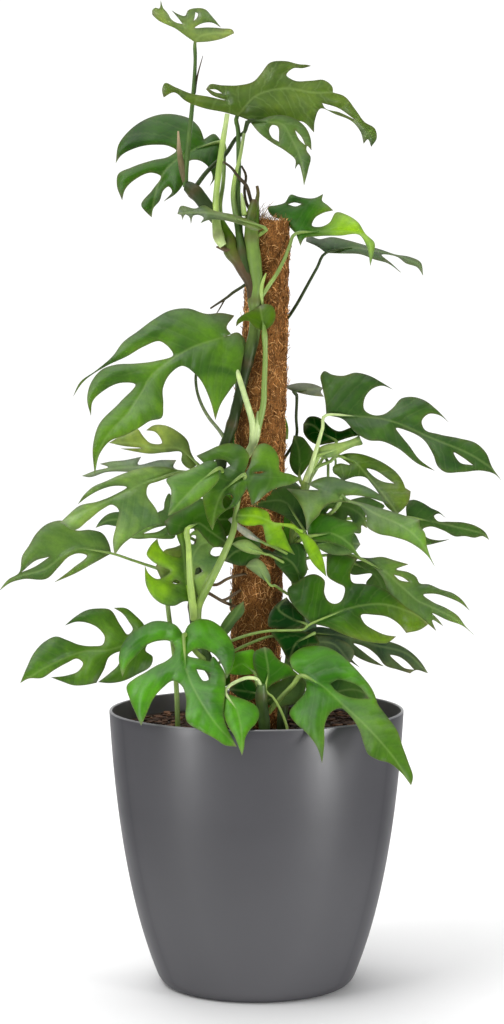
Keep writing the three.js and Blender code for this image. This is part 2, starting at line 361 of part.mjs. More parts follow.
 stalk: [[62, 531, -14], [63, 529, -12.5]],
 thick: [1.8, 2.4]},
leaf_big_right: {tone: 'deepgrey', y: -12, slope: [-0.15, 0.35], fold: 0.1, on: 'right_vine',
 rib: [[100, 569], [135, 564], [175, 547], [210, 532.5], [231, 519.5], [238, 513.4], [244.5, 505]],
 edge: [[69.5, 570, 1], [68.5, 583], [65, 600], [63.7, 609], [67, 613.8], [75, 610.5], [86, 609.2],
  [98, 612.3], [111, 609.8], [125, 602.5], [136, 595.5, 1], [125, 599.3], [115, 596], [107.5, 586],
  [107.5, 575.5], [116, 570.2], [127, 571], [136, 577.5], [144, 586.5], [154, 588.3], [167, 585],
  [179, 576], [192, 562.5, 1], [182, 570], [171, 571], [164.7, 564], [167, 556.5], [182, 551], [202, 547],
  [219, 542], [229, 532.5], [235, 518.5], [244.5, 505, 1], [237.5, 511.3], [226, 514.5], [204, 513.2],
  [187, 513.7], [181.5, 518], [176, 531], [166, 546], [152, 553.8], [139, 557], [145, 548.5], [152, 540],
  [162, 526.5], [178, 514.5, 1], [162, 521], [140, 537.5], [125, 544], [112, 545], [98, 553.5], [86, 566]],
 holes: [[[196.8, 533], [204, 529], [216, 520.2, 1], [203, 522.8]]],
 stalk: [[66, 557, -18], [62, 543, -22], [58, 530, -22], [54, 517, -20], [50, 504, -15]],
 thick: [1.6, 3]},
leaf_round_dark: {tone: 'dark', y: 10, slope: [0, 0.3], on: 'right_vine',
 rib: [[66, 552], [56, 560], [46.5, 561]],
 edge: [[80, 543.5, 1], [70, 541.5], [62, 540.3], [53, 544.5], [47, 552.5], [46.5, 561, 1], [52, 568.3],
  [60, 568.5], [67, 564.5], [73, 558.5], [82, 554], [92, 557], [103, 562], [113, 557], [113, 548],
  [101, 549.5], [91, 547.3]],
 stalk: [[72, 536, 6], [62, 520, -1], [50, 500, -8]],
 thick: [1.5, 1.8]},
leaf_brown_edge: {tone: 'darkgrey', y: 6, slope: [0, 1.5], on: 'back_vine',
 rib: [[50, 595], [66, 597]],
 edge: [[36, 594, 1], [29, 598], [38, 601.3], [48, 602], [58, 600.5], [66, 597, 1], [64, 593.5],
  [67, 588.5, 1], [58, 589.3], [48, 591]],
 stalk: [[40, 590, 8], [39.5, 568, 13], [40, 550, 20], [33, 535, 25], [22, 520, 29], [9, 505, 29]],
 thick: [1.5, 1.6]},
leaf_dark_stem: {tone: 'dark', y: 2, slope: [0, 0.1], on: 'right_vine', fused: true,
 rib: [[43, 522], [42, 536], [37, 550]],
 edge: [[43, 508, 1], [37, 513], [33, 522], [34, 535], [37, 550, 1], [46, 548], [52, 541], [58, 532, 1],
  [53, 522], [47, 513]],
 stalk: [[46, 500, -8]],
 thick: [1.5, 1.8]},
leaf_far_right: {tone: 'deepgrey', y: 6, slope: [0.1, 0.4], on: 'right_vine',
 rib: [[175, 464], [205, 457], [222, 453], [228.5, 449.8], [232.5, 445.5]],
 edge: [[150, 468, 1], [149.3, 478], [150.5, 484.6, 1], [157, 485.7], [165, 483], [175, 477],
  [182, 473.8], [189, 467.5, 1], [181.5, 471.8], [177.3, 469.5], [180, 465], [192, 463.7], [206, 463],
  [220, 459], [229, 452.5], [232.5, 445.5, 1], [226, 449.3], [218.5, 447.6], [208, 449.2], [199, 448.8],
  [187, 454.8], [172, 458.6], [166, 456], [169, 449], [180, 445.2], [193, 446, 1], [182, 442.8], [166, 441],
  [158, 452]],
 stalk: [[128, 466, 4], [100, 467, -2], [70, 465, -5], [40, 462, -7]],
 thick: [1.6, 2]},
leaf_claw_right: {tone: 'mid', y: -34, slope: [-0.1, 0.5], fold: 0.08, on: 'right_vine',
 rib: [[126, 415], [148, 396], [162, 384], [178, 377], [198, 366.5], [206, 361.3], [218.5, 349.5]],
 edge: [[100, 428.5, 1], [112, 427.3], [126, 428.4], [138, 425], [152, 421, 1], [140, 416], [152, 413],
  [160, 408], [163, 402.2], [172, 401], [184, 396], [197, 391.8], [205, 386], [213.5, 374.5, 1],
  [205, 381.5], [192, 387.6], [177, 391.5], [167, 390.5], [176, 383.5], [190, 377], [201, 369.8],
  [210, 358], [218.5, 349.5, 1], [206, 359.5], [192, 364.5], [176, 371.5], [182, 365.5], [187, 359, 1],
  [176, 365], [180, 354, 1], [171, 361.5], [159, 368.5], [145, 373], [136, 381], [131.5, 393], [126, 407.5],
  [117, 418.5]],
 holes: [[[137.5, 410.5, 1], [146, 408], [152.5, 403.3, 1], [143, 405.3]]],
 stalk: [[90, 430, -30], [72, 437, -24], [54, 437, -18], [39, 434, -12]],
 thick: [1.8, 2.4]},
leaf_low_right: {tone: 'mid', y: -66, slope: [-0.1, 0.35], fold: 0.1, on: 'main_vine',
 rib: [[90, 376], [125, 381], [156, 372], [172.5, 361]],
 edge: [[55, 361.5, 1], [49, 367], [40, 376], [32.5, 387], [31, 395.5], [42, 404], [50, 409.5],
  [58, 411.2], [68, 405], [68, 392], [72, 384], [78, 381.3], [84, 383.5], [87.5, 390], [88, 398],
  [80, 402.5], [71, 409], [70, 420], [70.5, 431.5, 1], [81, 433], [92, 430], [101, 426.5, 1], [96.5, 419],
  [94, 411.5], [95.5, 403.5], [108, 401.3], [122, 399], [136, 390], [150, 378], [162, 370], [172.5, 361, 1],
  [164, 355.3], [150, 352, 1], [143, 360.5], [132, 367.8], [118, 370.2], [104.5, 369.6], [108, 362],
  [118, 355], [129, 350.2], [140, 348.5, 1], [132, 342.5], [118, 342.2], [102, 345.5], [86, 351],
  [70, 358]],
 stalk: [[47, 355.5, -64], [30, 354.5, -58], [12, 354, -54], [-8, 350, -53], [-30, 342, -50],
  [-54, 330, -44]],
 thick: [1.2, 1.8]},
leaf_shade_right: {tone: 'dark', y: -18, slope: [0, 0.2], on: 'right_vine',
 rib: [[112, 415], [124, 402], [126, 382]],
 edge: [[93, 424, 1], [108, 424], [121, 417], [131, 404], [134, 390], [126, 382, 1], [116, 393],
  [109.5, 402], [115.5, 410.7], [94, 411.8]],
 stalk: [[80, 430, -12], [60, 429, -12], [40, 424, -16]],
 thick: [1.5, 1.8]},
leaf_low_slits: {tone: 'darkgrey', y: -20, slope: [-0.1, 0.4], on: 'main_vine',
 rib: [[80, 350], [120, 339.5], [150, 331.5], [172, 311.5]],
 edge: [[46, 352, 1], [60, 358], [76, 356], [95, 349], [114, 344], [132, 343.5], [146, 338.5], [157, 331],
  [165, 322.5], [172, 311.5, 1], [158.5, 314.3], [154, 311.3, 1], [142, 315], [129, 319.3], [121, 329],
  [110, 337.5], [97.3, 341.3], [106, 334], [115, 327], [128, 318.3, 1], [113, 322.3], [100, 328.3],
  [91.5, 334.5], [96, 325], [104, 317, 1], [92, 324.5], [80, 334], [64, 342]],
 holes: [[[134, 329.8], [143, 328], [151, 322.5], [158, 315, 1], [149, 316.5], [141, 322.5]]],
 stalk: [[43.5, 351.5, -31], [38, 351, -38], [30, 350, -42], [12, 348, -46], [-5, 342, -45],
  [-25, 332, -43], [-54, 315, -46]],
 thick: [1.2, 1.7]},
leaf_shade_strip: {tone: 'dark', y: -36, slope: [0, 0], on: 'main_vine', fused: true,
 rib: [[-33, 355], [-23, 368], [-13, 384]],
 edge: [[-40, 347, 1], [-37, 357], [-29, 370], [-20, 379], [-13, 384, 1], [-12, 374], [-21, 362],
  [-29, 351]],
 stalk: [[-48, 344, -38], [-60, 341, -43]],
 thick: [1.5, 1.8]},
leaf_low_left: {tone: 'deep', y: -40, slope: [0.2, 0.4], fold: 0.12, on: 'main_vine',
 rib: [[-128, 341], [-150, 334.5], [-175, 333], [-208, 319], [-237, 301.5]],
 edge: [[-106, 346, 1], [-113, 361], [-121, 369.5], [-131, 377], [-143, 377.3, 1], [-134, 371.5],
  [-128, 363.5], [-124, 355.5], [-128.5, 350.5], [-136, 359.5], [-147.5, 375.8], [-158, 376.7], [-170, 375],
  [-181, 368.8], [-192, 359.5, 1], [-180, 363.3], [-168, 361.8], [-157, 355.5], [-152, 347.5],
  [-154, 340.5], [-164, 338.8], [-178, 340.3], [-190, 345], [-201, 348.5], [-212, 343.5], [-223, 332],
  [-230.5, 317], [-237, 301.5, 1], [-229, 305.9], [-215, 306.7], [-203, 314.5], [-190, 321.8], [-179, 326],
  [-174, 322], [-178.5, 313.8], [-190, 309.3], [-206, 307.3, 1], [-196, 303.5], [-183, 299.2],
  [-170, 299.8], [-160.5, 301.8, 1], [-153, 315], [-147, 328.5], [-136, 333], [-138, 321], [-148, 311],
  [-158.8, 302.5, 1], [-148, 301.5], [-136, 303], [-120, 310], [-105, 320.5], [-104, 328], [-111, 334]],
 stalk: [[-95, 351, -46], [-82, 350, -47], [-62, 342, -42]],
 thick: [1.8, 2.4]},
leaf_front_left: {tone: 'fresh', y: -82, slope: [0, 0.85], fold: 0.12, bend: 0.0008,
 on: 'main_vine',
 rib: [[-71, 318], [-60, 290], [-42, 262], [-20, 237.5]],
 edge: [[-73, 350, 1], [-81, 360], [-91, 363.5], [-103, 363.8], [-114, 359], [-125, 351.5], [-133.5, 342],
  [-138, 328], [-134.5, 308, 1], [-129, 320], [-119, 331], [-109, 340.5], [-97, 344.3], [-86, 343.3],
  [-82, 337], [-84.5, 329], [-91, 323.5], [-100, 319.3], [-112, 312], [-123, 305.5], [-130, 299],
  [-127.5, 286], [-122, 273], [-115.8, 258.5, 1], [-110, 271.5], [-103, 286.5], [-94, 296.8], [-83, 304],
  [-75, 299], [-71, 288], [-69.2, 262], [-56, 253.3], [-42, 245.5], [-31, 238.6], [-20, 237.5, 1],
  [-27.5, 252], [-33, 268], [-32, 285], [-31.5, 300], [-36, 313], [-44, 321], [-55, 325.8], [-69, 329.8],
  [-63, 335], [-54, 336], [-43, 331], [-35, 320.5], [-29.8, 306, 1], [-23.5, 320], [-21.5, 331],
  [-26, 345.5], [-36, 358.5], [-48, 365.3], [-60, 365.3], [-68, 360]],
 holes: [[[-60, 315.5, 1], [-52, 314], [-46.5, 310.5], [-48.5, 304.5], [-53, 303.7], [-57, 308.5]]],
 stalk: [[-68, 343, -74], [-63, 330, -58], [-59, 318, -48]],
 thick: [2.2, 2.8]},
leaf_lime_front: {tone: 'limebright', y: -120, slope: [0, 1], fold: 0.2, on: 'front_stem',
 rib: [[-20, 275], [-15, 250], [-14.5, 228.5]],
 edge: [[-31, 291, 1], [-20, 287.5], [-8, 283], [0, 278], [3, 269.5], [-0.5, 261], [-7, 254],
  [-11.5, 245], [-12.5, 236], [-14.5, 228.5, 1], [-18, 237.5], [-22, 247.5], [-29, 259], [-33, 271],
  [-33, 283]],
 stalk: [[-28, 298, -110], [-18, 304, -106], [-8, 307, -103], [1, 305, -99], [4, 298, -97]],
 thick: [1.5, 2]},
leaf_heart: {tone: 'bluegreen', y: -94, slope: [0, 0.35], on: 'soil',
 rib: [[12, 312], [8, 338]],
 edge: [[9, 294, 1], [4, 301], [0, 311], [-3.5, 322], [-2, 333], [8, 338, 1], [14, 335.5], [19, 328.5],
  [25, 323], [32, 320], [37, 314.5], [42, 310], [32, 307.5], [22, 303.8], [14, 299]],
 stalk: [[16, 288, -95], [24, 275, -101], [31, 256, -104], [32, 240, -105]],
 thick: [1.3, 1.6]},
leaf_front_right: {tone: 'fresh', y: -96, slope: [-0.05, 1], fold: 0.12, bend: 0.0012,
 on: 'front_stem',
 rib: [[64, 300], [84, 282], [112, 256], [138, 226], [155.5, 198]],
 edge: [[45, 309, 1], [35, 318], [33.5, 326], [43, 335.8], [56, 339], [70, 338], [84, 330.5], [96, 319.5],
  [107, 307.5], [115, 297], [119, 289], [121.5, 281], [130, 269], [141, 254], [147, 237], [152.5, 222],
  [157.3, 205], [155.5, 198, 1], [146, 210.5], [134, 220.5], [121, 224.5], [112, 230], [107.5, 241],
  [103, 254.5], [94, 268.5], [84, 276.3], [75, 272.5], [69, 261], [68.3, 242], [66, 220, 1], [61, 236.5],
  [51, 250.5], [39, 261.5], [33, 271], [40, 282], [49, 293], [49.3, 302]],
 holes: [[[74, 301, 1], [80, 304.6], [92, 303], [103, 298], [113, 286, 1], [100, 286], [88, 289],
   [79, 294.5]]],
 stalk: [[37, 300, -92], [24, 286, -90], [12, 272, -88]],
 thick: [2.2, 2.8]},
leaf_shade_low: {tone: 'dark', y: -50, slope: [0, 0.3], on: 'right_vine',
 rib: [[36, 366], [22, 376], [30, 388]],
 edge: [[50, 361, 1], [40, 356.5], [22, 356], [12, 359], [12.5, 370], [19, 380], [30, 388, 1],
  [38, 378.5], [47, 369.5]],
 stalk: [[46, 358, -40], [38, 356, -29]],
 thick: [1.5, 1.8]},
leaf_shade_vine: {tone: 'dark', y: -30, slope: [0, 0], on: 'right_vine', fused: true,
 rib: [[42, 412], [34, 424], [16, 433]],
 edge: [[44, 404, 1], [37, 402], [31, 408], [25, 415], [19, 422], [16, 433, 1], [22, 439], [33, 441.5],
  [46, 441.5], [50, 434], [50, 424], [50.5, 413]],
 stalk: [[43, 399, -25], [40, 395, -20]],
 thick: [1.5, 1.8]},
leaf_shade_mid: {tone: 'dark', y: -56, slope: [0, 0.3], on: 'right_vine',
 rib: [[40, 342], [32, 322.5]],
 edge: [[58, 352, 1], [40, 354], [15, 351.5], [22, 342], [28, 331], [32, 322.5, 1], [40, 331.5],
  [51, 338.5], [63, 341]],
 stalk: [[50, 346, -46], [36, 340, -33]],
 thick: [1.5, 1.8]},
leaf_shade_slits: {tone: 'darkgrey', y: -37, slope: [0, 0.1], on: 'right_vine', fused: true,
 rib: [[58, 343], [78, 340.5], [94, 322]],
 edge: [[42, 341, 1], [49, 347], [62, 349.5], [80, 346.5], [92, 341], [98, 331], [94, 322, 1], [86, 327],
  [75, 335], [60, 338], [50, 337.5]],
 stalk: [[37, 341, -33]],
 thick: [1.5, 1.8]},
leaf_shade_left: {tone: 'mid', y: -70, slope: [0, 0.3], on: 'front_stem',
 rib: [[-14, 321], [-30, 311]],
 edge: [[-1, 311, 1], [-2, 322], [-3, 335], [-13, 334], [-22, 331.5], [-28, 322], [-30, 311, 1],
  [-16, 309.5]],
 stalk: [[0, 302, -84], [4, 295, -92]],
 thick: [1.5, 1.8]},
leaf_shade_front: {tone: 'dark', y: -84, slope: [0, 0.3], on: 'front_stem',
 rib: [[20, 288], [34, 298], [48, 309]],
 edge: [[9, 281, 1], [8, 294], [20, 302], [35, 309], [48, 309, 1], [50, 300], [47, 290], [38, 281],
  [28, 278.5], [18, 277]],
 stalk: [[6, 272, -90]],
 thick: [1.5, 1.8]},
leaf_shade_hole: {tone: 'dark', y: -70, slope: [0, 0.2], on: 'right_vine', fused: true,
 rib: [[82, 293], [98, 295], [115, 289]],
 edge: [[72, 290, 1], [71, 300], [80, 307], [95, 307], [110, 301], [115, 289, 1], [104, 282], [90, 281],
  [78, 284]],
 stalk: [[50, 284, -60], [27, 279, -42]],
 thick: [1.5, 1.8]},
leaf_shade_dark: {tone: 'dark', y: -76, slope: [0, 0.3], on: 'front_stem',
 rib: [[-10, 293], [-28, 295.5]],
 edge: [[3, 290, 1], [-2, 302], [-8, 306], [-18, 302], [-28, 295.5, 1], [-18, 287.5], [-6, 284]],
 stalk: [[5, 281, -95]],
 thick: [1.5, 1.8]},
leaf_small_pale: {tone: 'palegrey', y: -42, slope: [0.1, 0.3], on: 'right_vine', fused: true,
 rib: [[2, 418], [-11, 419]],
 edge: [[14, 400, 1], [7, 405.5], [-1, 411.5], [-7, 416], [-11, 419, 1], [-6.5, 424.5], [0, 427],
  [6, 423.5], [11, 416], [14, 407.5]],
 stalk: [[18, 400, -36], [30, 392, -28], [39, 388, -22]],
 thick: [1.3, 1.6]},
leaf_small_olive: {tone: 'palegrey', y: -40, slope: [0.1, 0.4], on: 'right_vine', fused: true,
 rib: [[-8, 438], [-25, 441.5]],
 edge: [[9.5, 431, 1], [-2, 431], [-12, 433.5], [-20, 438], [-25, 441.5, 1], [-18, 445], [-9, 445.5],
  [-1, 440.5]],
 stalk: [[12, 431, -38], [25, 424, -30], [38, 416, -18]],
 thick: [1.3, 1.6]},
leaf_shade_centre: {tone: 'dark', y: -34, slope: [0, 0], on: 'right_vine', fused: true,
 rib: [[-6, 436], [-20, 434], [-32, 424]],
 edge: [[4, 436, 1], [3, 447], [-8, 449.5], [-22, 447], [-30, 436], [-32, 424, 1], [-15, 419.5],
  [-3, 422.5], [4, 430]],
 stalk: [[20, 430, -31], [38, 423, -17]],
 thick: [1.5, 1.8]},
leaf_new_pale: {tone: 'cream', y: -50, slope: [0, 0.3], on: 'right_vine', fused: true,
 rib: [[-8, 452], [-28.5, 465.5]],
 edge: [[9, 441.5, 1], [-2, 444.7], [-11, 448.5], [-18, 454.5], [-28.5, 465.5, 1], [-26, 467.8],
  [-17, 461], [-8, 455.8], [0, 449]],
 stalk: [[14, 440, -44], [26, 434, -34], [37, 428, -17]],
 thick: [1.3, 1.6]}
};

// Leaves on the back side, out of the eye's sight. Each has the outline of a drawn leaf, set
// between a base and a tip in real millimetres [x, y, z], with its upper face toward face.
const BACK_LEAVES = {
  leaf_back_top: {
    like: 'leaf_olive_right', base: [1, 69, 645], tip: [32, 149, 560], face: [-0.1, 0.3, 0.6],
    stalk: [[3, 57, 653], [8, 42, 664], [10, 32, 676]], thick: [1.8, 2.4],
  },
  leaf_back_high: {
    like: 'leaf_right_mid', base: [26, 71, 612], tip: [6, 147, 528], face: [-0.4, 0.3, 0.5],
    stalk: [[23, 58, 620], [17, 42, 628], [12, 32, 634]], thick: [2, 2.6],
  },
  leaf_back_middle: {
    like: 'leaf_upper_left', base: [8, 57, 530], tip: [-57, 162, 479], face: [0.4, 0.6, 0.6],
    stalk: [[9, 48, 538], [9, 34, 548]], thick: [2, 2.6],
  },
  leaf_back_side: {
    like: 'leaf_olive_right', base: [-11, 72, 464], tip: [50, 176, 427], face: [-0.1, 0.3, 0.5],
    stalk: [[-6, 60, 472], [0, 46, 481], [5, 33, 490]], thick: [2, 2.6],
  },
  leaf_back_low: {
    like: 'leaf_olive_right', base: [-10, 66, 400], tip: [30, 165, 345], face: [-0.1, 0.4, 0.8],
    stalk: [[-6, 54, 408], [-1, 42, 414], [2, 33, 420]], thick: [2, 2.6],
  },
  leaf_back_foot: {
    like: 'leaf_upper_left', base: [16, 66, 371], tip: [-50, 144, 304], face: [-0.2, 0.7, 0.8],
    stalk: [[13, 54, 378], [7, 42, 384], [3, 33, 388]], thick: [2, 2.6],
  },
};

const TONES = {
  olive: 0x5d7434, veined: 0x6f8f4a, mid: 0x4f7a3a, deep: 0x33612f, grey: 0x6c7d66, fresh: 0x6a9c3c,
  bright: 0x76ab3e, dark: 0x26452a, lime: 0x93b94a, olivedark: 0x4a5c30, pale: 0x9fb779,
  deepgrey: 0x4c6a50, brown: 0x6b5a3a, darkgrey: 0x46574a, limebright: 0x9cc33f, bluegreen: 0x4f7f6c,
  palegrey: 0x8b9c7c, cream: 0xc9cf9c,
};
const VINE_GREEN = 0x56703a;
const COIR_BROWN = 0x5a4130;
const STAKE_BROWN = 0x6e5038;
const SOIL_BROWN = 0x3b2c22;
const POT_GREY = 0x5b5a5d;
const LEAF_ROUGHNESS = 0.5;
const RAW_ROUGHNESS = 0.95;
const POT_ROUGHNESS = 0.45;

// Solids are joined and cut as manifolds, then turned back into buffer geometry.
function solidOf(positions, triangles) {
  const mesh = new wasm.Mesh({
    numProp: 3,
    vertProperties: new Float32Array(positions),
    triVerts: new Uint32Array(triangles),
  });
  return new wasm.Manifold(mesh);
}

function solidOfGeometry(geometry) {
  geometry.deleteAttribute('normal');
  geometry.deleteAttribute('uv');
  const merged = mergeVertices(geometry, 1e-4);
  return solidOf(merged.attributes.position.array, merged.index.array);
}

function meshOf(solid, name, color, roughness) {
  const { vertProperties, triVerts } = solid.getMesh();
  const geometry = new THREE.BufferGeometry();
  geometry.setAttribute('position', new THREE.BufferAttribute(new Float32Array(vertProperties), 3));
  geometry.setIndex(new THREE.BufferAttribute(new Uint32Array(triVerts), 1));
  geometry.computeVertexNormals();
  const mesh = new THREE.Mesh(geometry, new THREE.MeshStandardMaterial({ color, roughness }));
  mesh.name = name;
  return mesh;
}

// A cut can leave a loose crumb beside a piece: only the piece itself stays.
function largestBody(solid) {
  return solid.decompose().reduce((best, body) => (body.volume() > best.volume() ? body : best));
}

function seen(x, z, y) {
  const k = (y - EYE.y) / -EYE.y;
  return new THREE.Vector3(EYE.x + (x - EYE.x) * k, y, EYE.z + (z - EYE.z) * k);
}

// A closed outline through drawn points [x, z], or [x, z, 1] where it comes to a point.
function smoothOutline(points) {
  const at = (i) => points[(i + points.length) % points.length];
  const sharp = (i) => at(i)[2] === 1;
  const tangent = (u, v, w) => {
    const before = Math.hypot(v[0] - u[0], v[1] - u[1]);
    const after = Math.hypot(w[0] - v[0], w[1] - v[1]);
    return [0, 1].map((j) => (
      ((v[j] - u[j]) / before * after + (w[j] - v[j]) / after * before) / (before + after)));
  };
  const outline = [];
  for (let i = 0; i < points.length; i += 1) {
    const a = at(i);
    const b = at(i + 1);
    const length = Math.hypot(b[0] - a[0], b[1] - a[1]);
    const straight = [(b[0] - a[0]) / length, (b[1] - a[1]) / length];
    const leave = sharp(i) ? straight : tangent(at(i - 1), a, b);
    const arrive = sharp(i + 1) ? straight : tangent(a, b, at(i + 2));
    const steps = Math.max(1, Math.round(length / EDGE_STEP));
    for (let s = 0; s < steps; s += 1) {
      const t = s / steps;
      const fromA = 2 * t ** 3 - 3 * t ** 2 + 1;
      const outOfA = (t ** 3 - 2 * t ** 2 + t) * length;
      const intoB = (t ** 3 - t ** 2) * length;
      const point = [0, 1].map((j) => (
        fromA * a[j] + outOfA * leave[j] + (1 - fromA) * b[j] + intoB * arrive[j]));
      const offChord = (point[0] - a[0]) * straight[1] - (point[1] - a[1]) * straight[0];
      if (s === 0 || Math.abs(offChord) > STRAIGHT) {
        outline.push(point);
      }
    }
  }
  return outline;
}

// Where a point lies in a leaf: along its base-to-tip line, and across it.
function leafAxes(leaf) {
  const base = leaf.edge[0];
  const tip = leaf.rib.at(-1);
  const length = Math.hypot(tip[0] - base[0], tip[1] - base[1]);
  const along = [(tip[0] - base[0]) / length, (tip[1] - base[1]) / length];
  return {
    length,
    coordinates: (x, z) => {
      const dx = x - base[0];
      const dz = z - base[1];
      return [dx * along[0] + dz * along[1], dz * along[0] - dx * along[1]];
    },
  };
}

// The surface of a drawn leaf: a slope, a fold along the midrib and a bend toward the tip.
function drawnSurface(leaf) {
  const { coordinates } = leafAxes(leaf);
  const [slopeX, slopeZ] = leaf.slope;
  const { fold = 0, bend = 0 } = leaf;
  const place = (x, z) => {
    const [along, across] = coordinates(x, z);
    const depth = leaf.y + slopeX * (x - leaf.edge[0][0]) + slopeZ * (z - leaf.edge[0][1])
      + fold * Math.abs(across) + bend * Math.max(along, 0) ** 2;
    return seen(x, z, depth);
  };
  return { place, normal: new THREE.Vector3(-slopeX, 1, -slopeZ).normalize() };
}

// The surface of a back leaf: the drawn outline, fitted between its own base and tip.
function backSurface(back, drawn) {
  const { length, coordinates } = leafAxes(drawn);
  const base = new THREE.Vector3(...back.base);
  const along = new THREE.Vector3(...back.tip).sub(base);
  const scale = along.length() / length;
  along.normalize();
  const across = new THREE.Vector3(...back.face).cross(along).normalize();
  const normal = along.clone().cross(across);
  const place = (x, z) => {
    const [t, d] = coordinates(x, z).map((value) => value * scale);
    const lift = BACK_FOLD * Math.abs(d) - BACK_DROOP * t * t;
    return base.clone().addScaledVector(along, t).addScaledVector(across, d).addScaledVector(normal, lift);
  };
  return { place, normal };
}

function signedArea(ring, points) {
  return THREE.ShapeUtils.area(ring.map((i) => new THREE.Vector2(...points[i])));
}

function holds(ring, points, [x, z]) {
  let inside = false;
  ring.forEach((i, k) => {
    const [x1, z1] = points[i];
    const [x2, z2] = points[ring[(k + 1) % ring.length]];
    if ((z1 > z) !== (z2 > z) && x < x1 + (z - z1) / (z2 - z1) * (x2 - x1)) {
      inside = !inside;
    }
  });
  return inside;
}

// A blade is split along its midrib, and both faces are cut into the same triangles.
function bladeSolid(leaf, surface, thickness) {
  const edge = smoothOutline(leaf.edge);
  const points = [...edge];
  const tip = leaf.rib.at(-1);
  const tipIndex = edge.findIndex(([x, z]) => Math.hypot(x - tip[0], z - tip[1]) < 0.01);
  const rib = leaf.rib.slice(0, -1).map((point) => points.push(point) - 1);
  const holes = (leaf.holes ?? []).map((hole) => (
    smoothOutline(hole).map((point) => points.push(point) - 1)));
  const edgeRing = edge.map((_, i) => i);
  const halves = [
    [...edgeRing.slice(0, tipIndex + 1), ...rib.toReversed()],
    [...edgeRing.slice(tipIndex), 0, ...rib],
  ];
  const faces = [];
  for (const half of halves) {
    const inside = holes.filter((hole) => holds(half, points, points[hole[0]]));
    const order = [half, ...inside].flat();
    const contour = half.map((i) => new THREE.Vector2(...points[i]));
    const cuts = inside.map((hole) => hole.map((i) => new THREE.Vector2(...points[i])));
    const cut = THREE.ShapeUtils.triangulateShape(contour, cuts).map((face) => face.map((k) => order[k]));
    const area = cut.reduce((sum, face) => sum + signedArea(face, points), 0);
    faces.push(...(area > 0 ? cut : cut.map((face) => face.toReversed())));
  }
  const count = points.length;
  const offset = surface.normal.clone().multiplyScalar(thickness / 2);
  const middle = points.map(([x, z]) => surface.place(x, z));
  const positions = [
    ...middle.flatMap((point) => point.clone().sub(offset).toArray()),
    ...middle.flatMap((point) => point.clone().add(offset).toArray()),
  ];
  const triangles = faces.flatMap(([a, b, c]) => [a, b, c, count + c, count + b, count + a]);
  for (const ring of [edgeRing, ...holes]) {
    const wanted = ring === edgeRing ? 1 : -1;
    const walk = Math.sign(signedArea(ring, points)) === wanted ? ring : ring.toReversed();
    walk.forEach((i, k) => {
      const j = walk[(k + 1) % walk.length];
      triangles.push(i, count + i, count + j, i, count + j, j);
    });
  }
  const solid = solidOf(positions, triangles);
  return solid.volume() > 0 ? solid : solidOf(positions, triangles.toReversed());
}

// A round limb through points { at, radius }, curved between them.
function limbSolid(points, sides, step, grow = 0) {
  const curve = new THREE.CatmullRomCurve3(points.map(({ at }) => at), false, 'centripetal');
  const rings = [];
  for (let i = 0; i < points.length - 1; i += 1) {
    const steps = Math.max(1, Math.round(points[i].at.distanceTo(points[i + 1].at) / step));
    for (let s = 0; s < steps; s += 1) {
      const t = s / steps;
      const radius = THREE.MathUtils.lerp(points[i].radius, points[i + 1].radius, t);
      rings.push({ at: curve.getPoint((i + t) / (points.length - 1)), radius: radius + grow });
    }
  }
  rings.push({ at: points.at(-1).at, radius: points.at(-1).radius + grow });
  const ends = [rings[0].at.clone(), rings.at(-1).at.clone()];
  const tangents = rings.map((ring, i) => (
    rings[Math.min(i + 1, rings.length - 1)].at.clone().sub(rings[Math.max(i - 1, 0)].at).normalize()));
  ends[0].addScaledVector(tangents[0], -grow);
  ends[1].addScaledVector(tangents.at(-1), grow);
  rings[0] = { at: ends[0], radius: rings[0].radius };
  rings[rings.length - 1] = { at: ends[1], radius: rings.at(-1).radius };
  let side = new THREE.Vector3(0, -1, 0.3).cross(tangents[0]).normalize();
  const positions = [];
  rings.forEach(({ at, radius }, i) => {
    side = side.addScaledVector(tangents[i], -side.dot(tangents[i])).normalize();
    const other = tangents[i].clone().cross(side);
    for (let s = 0; s < sides; s += 1) {
      const angle = s / sides * 2 * Math.PI;
      const point = at.clone().addScaledVector(side, radius * Math.cos(angle));
      positions.push(...point.addScaledVector(other, radius * Math.sin(angle)).toArray());
    }
  });
  const triangles = [];
  for (let i = 0; i < rings.length - 1; i += 1) {
    for (let s = 0; s < sides; s += 1) {
      const a = i * sides + s;
      const b = i * sides + (s + 1) % sides;
      triangles.push(a, b, b + sides, a, b + sides, a + sides);
    }
  }
  const last = (rings.length - 1) * sides;
  for (let s = 1; s < sides - 1; s += 1) {
    triangles.push(0, s + 1, s, last, last + s, last + s + 1);
  }
  return solidOf(positions, triangles);
}

function stalkSolid(leaf, surface, stalkPoints, grow) {
  const [atLeaf, atFoot] = leaf.thick;
  const root = leaf.rib.length > 1 ? leaf.rib[0] : leaf.edge[0];
  const route = [surface.place(...root), surface.place(...leaf.edge[0]), ...stalkPoints];
  const points = route.map((at, i) => ({
    at,
    radius: i === 0 ? BLADE / 2 : THREE.MathUtils.lerp(atLeaf, atFoot, (i - 1) / (route.length - 2)),
  }));
  return limbSolid(points, STALK_SIDES, STALK_STEP, grow);
}

function leafSolid(leaf, grow = 0) {
  const surface = drawnSurface(leaf);
  const stalk = leaf.stalk.map(([x, z, y]) => seen(x, z, y));
  return bladeSolid(leaf, surface, BLADE + 2 * grow).add(stalkSolid(leaf, surface, stalk, grow));
}

function backLeafSolid(back, grow = 0) {
  const drawn = LEAVES[back.like];
  const surface = backSurface(back, drawn);
  const stalk = back.stalk.map((point) => new THREE.Vector3(...point));
  const shape = { ...drawn, thick: back.thick };
  return bladeSolid(shape, surface, BLADE + 2 * grow).add(stalkSolid(shape, surface, stalk, grow));
}

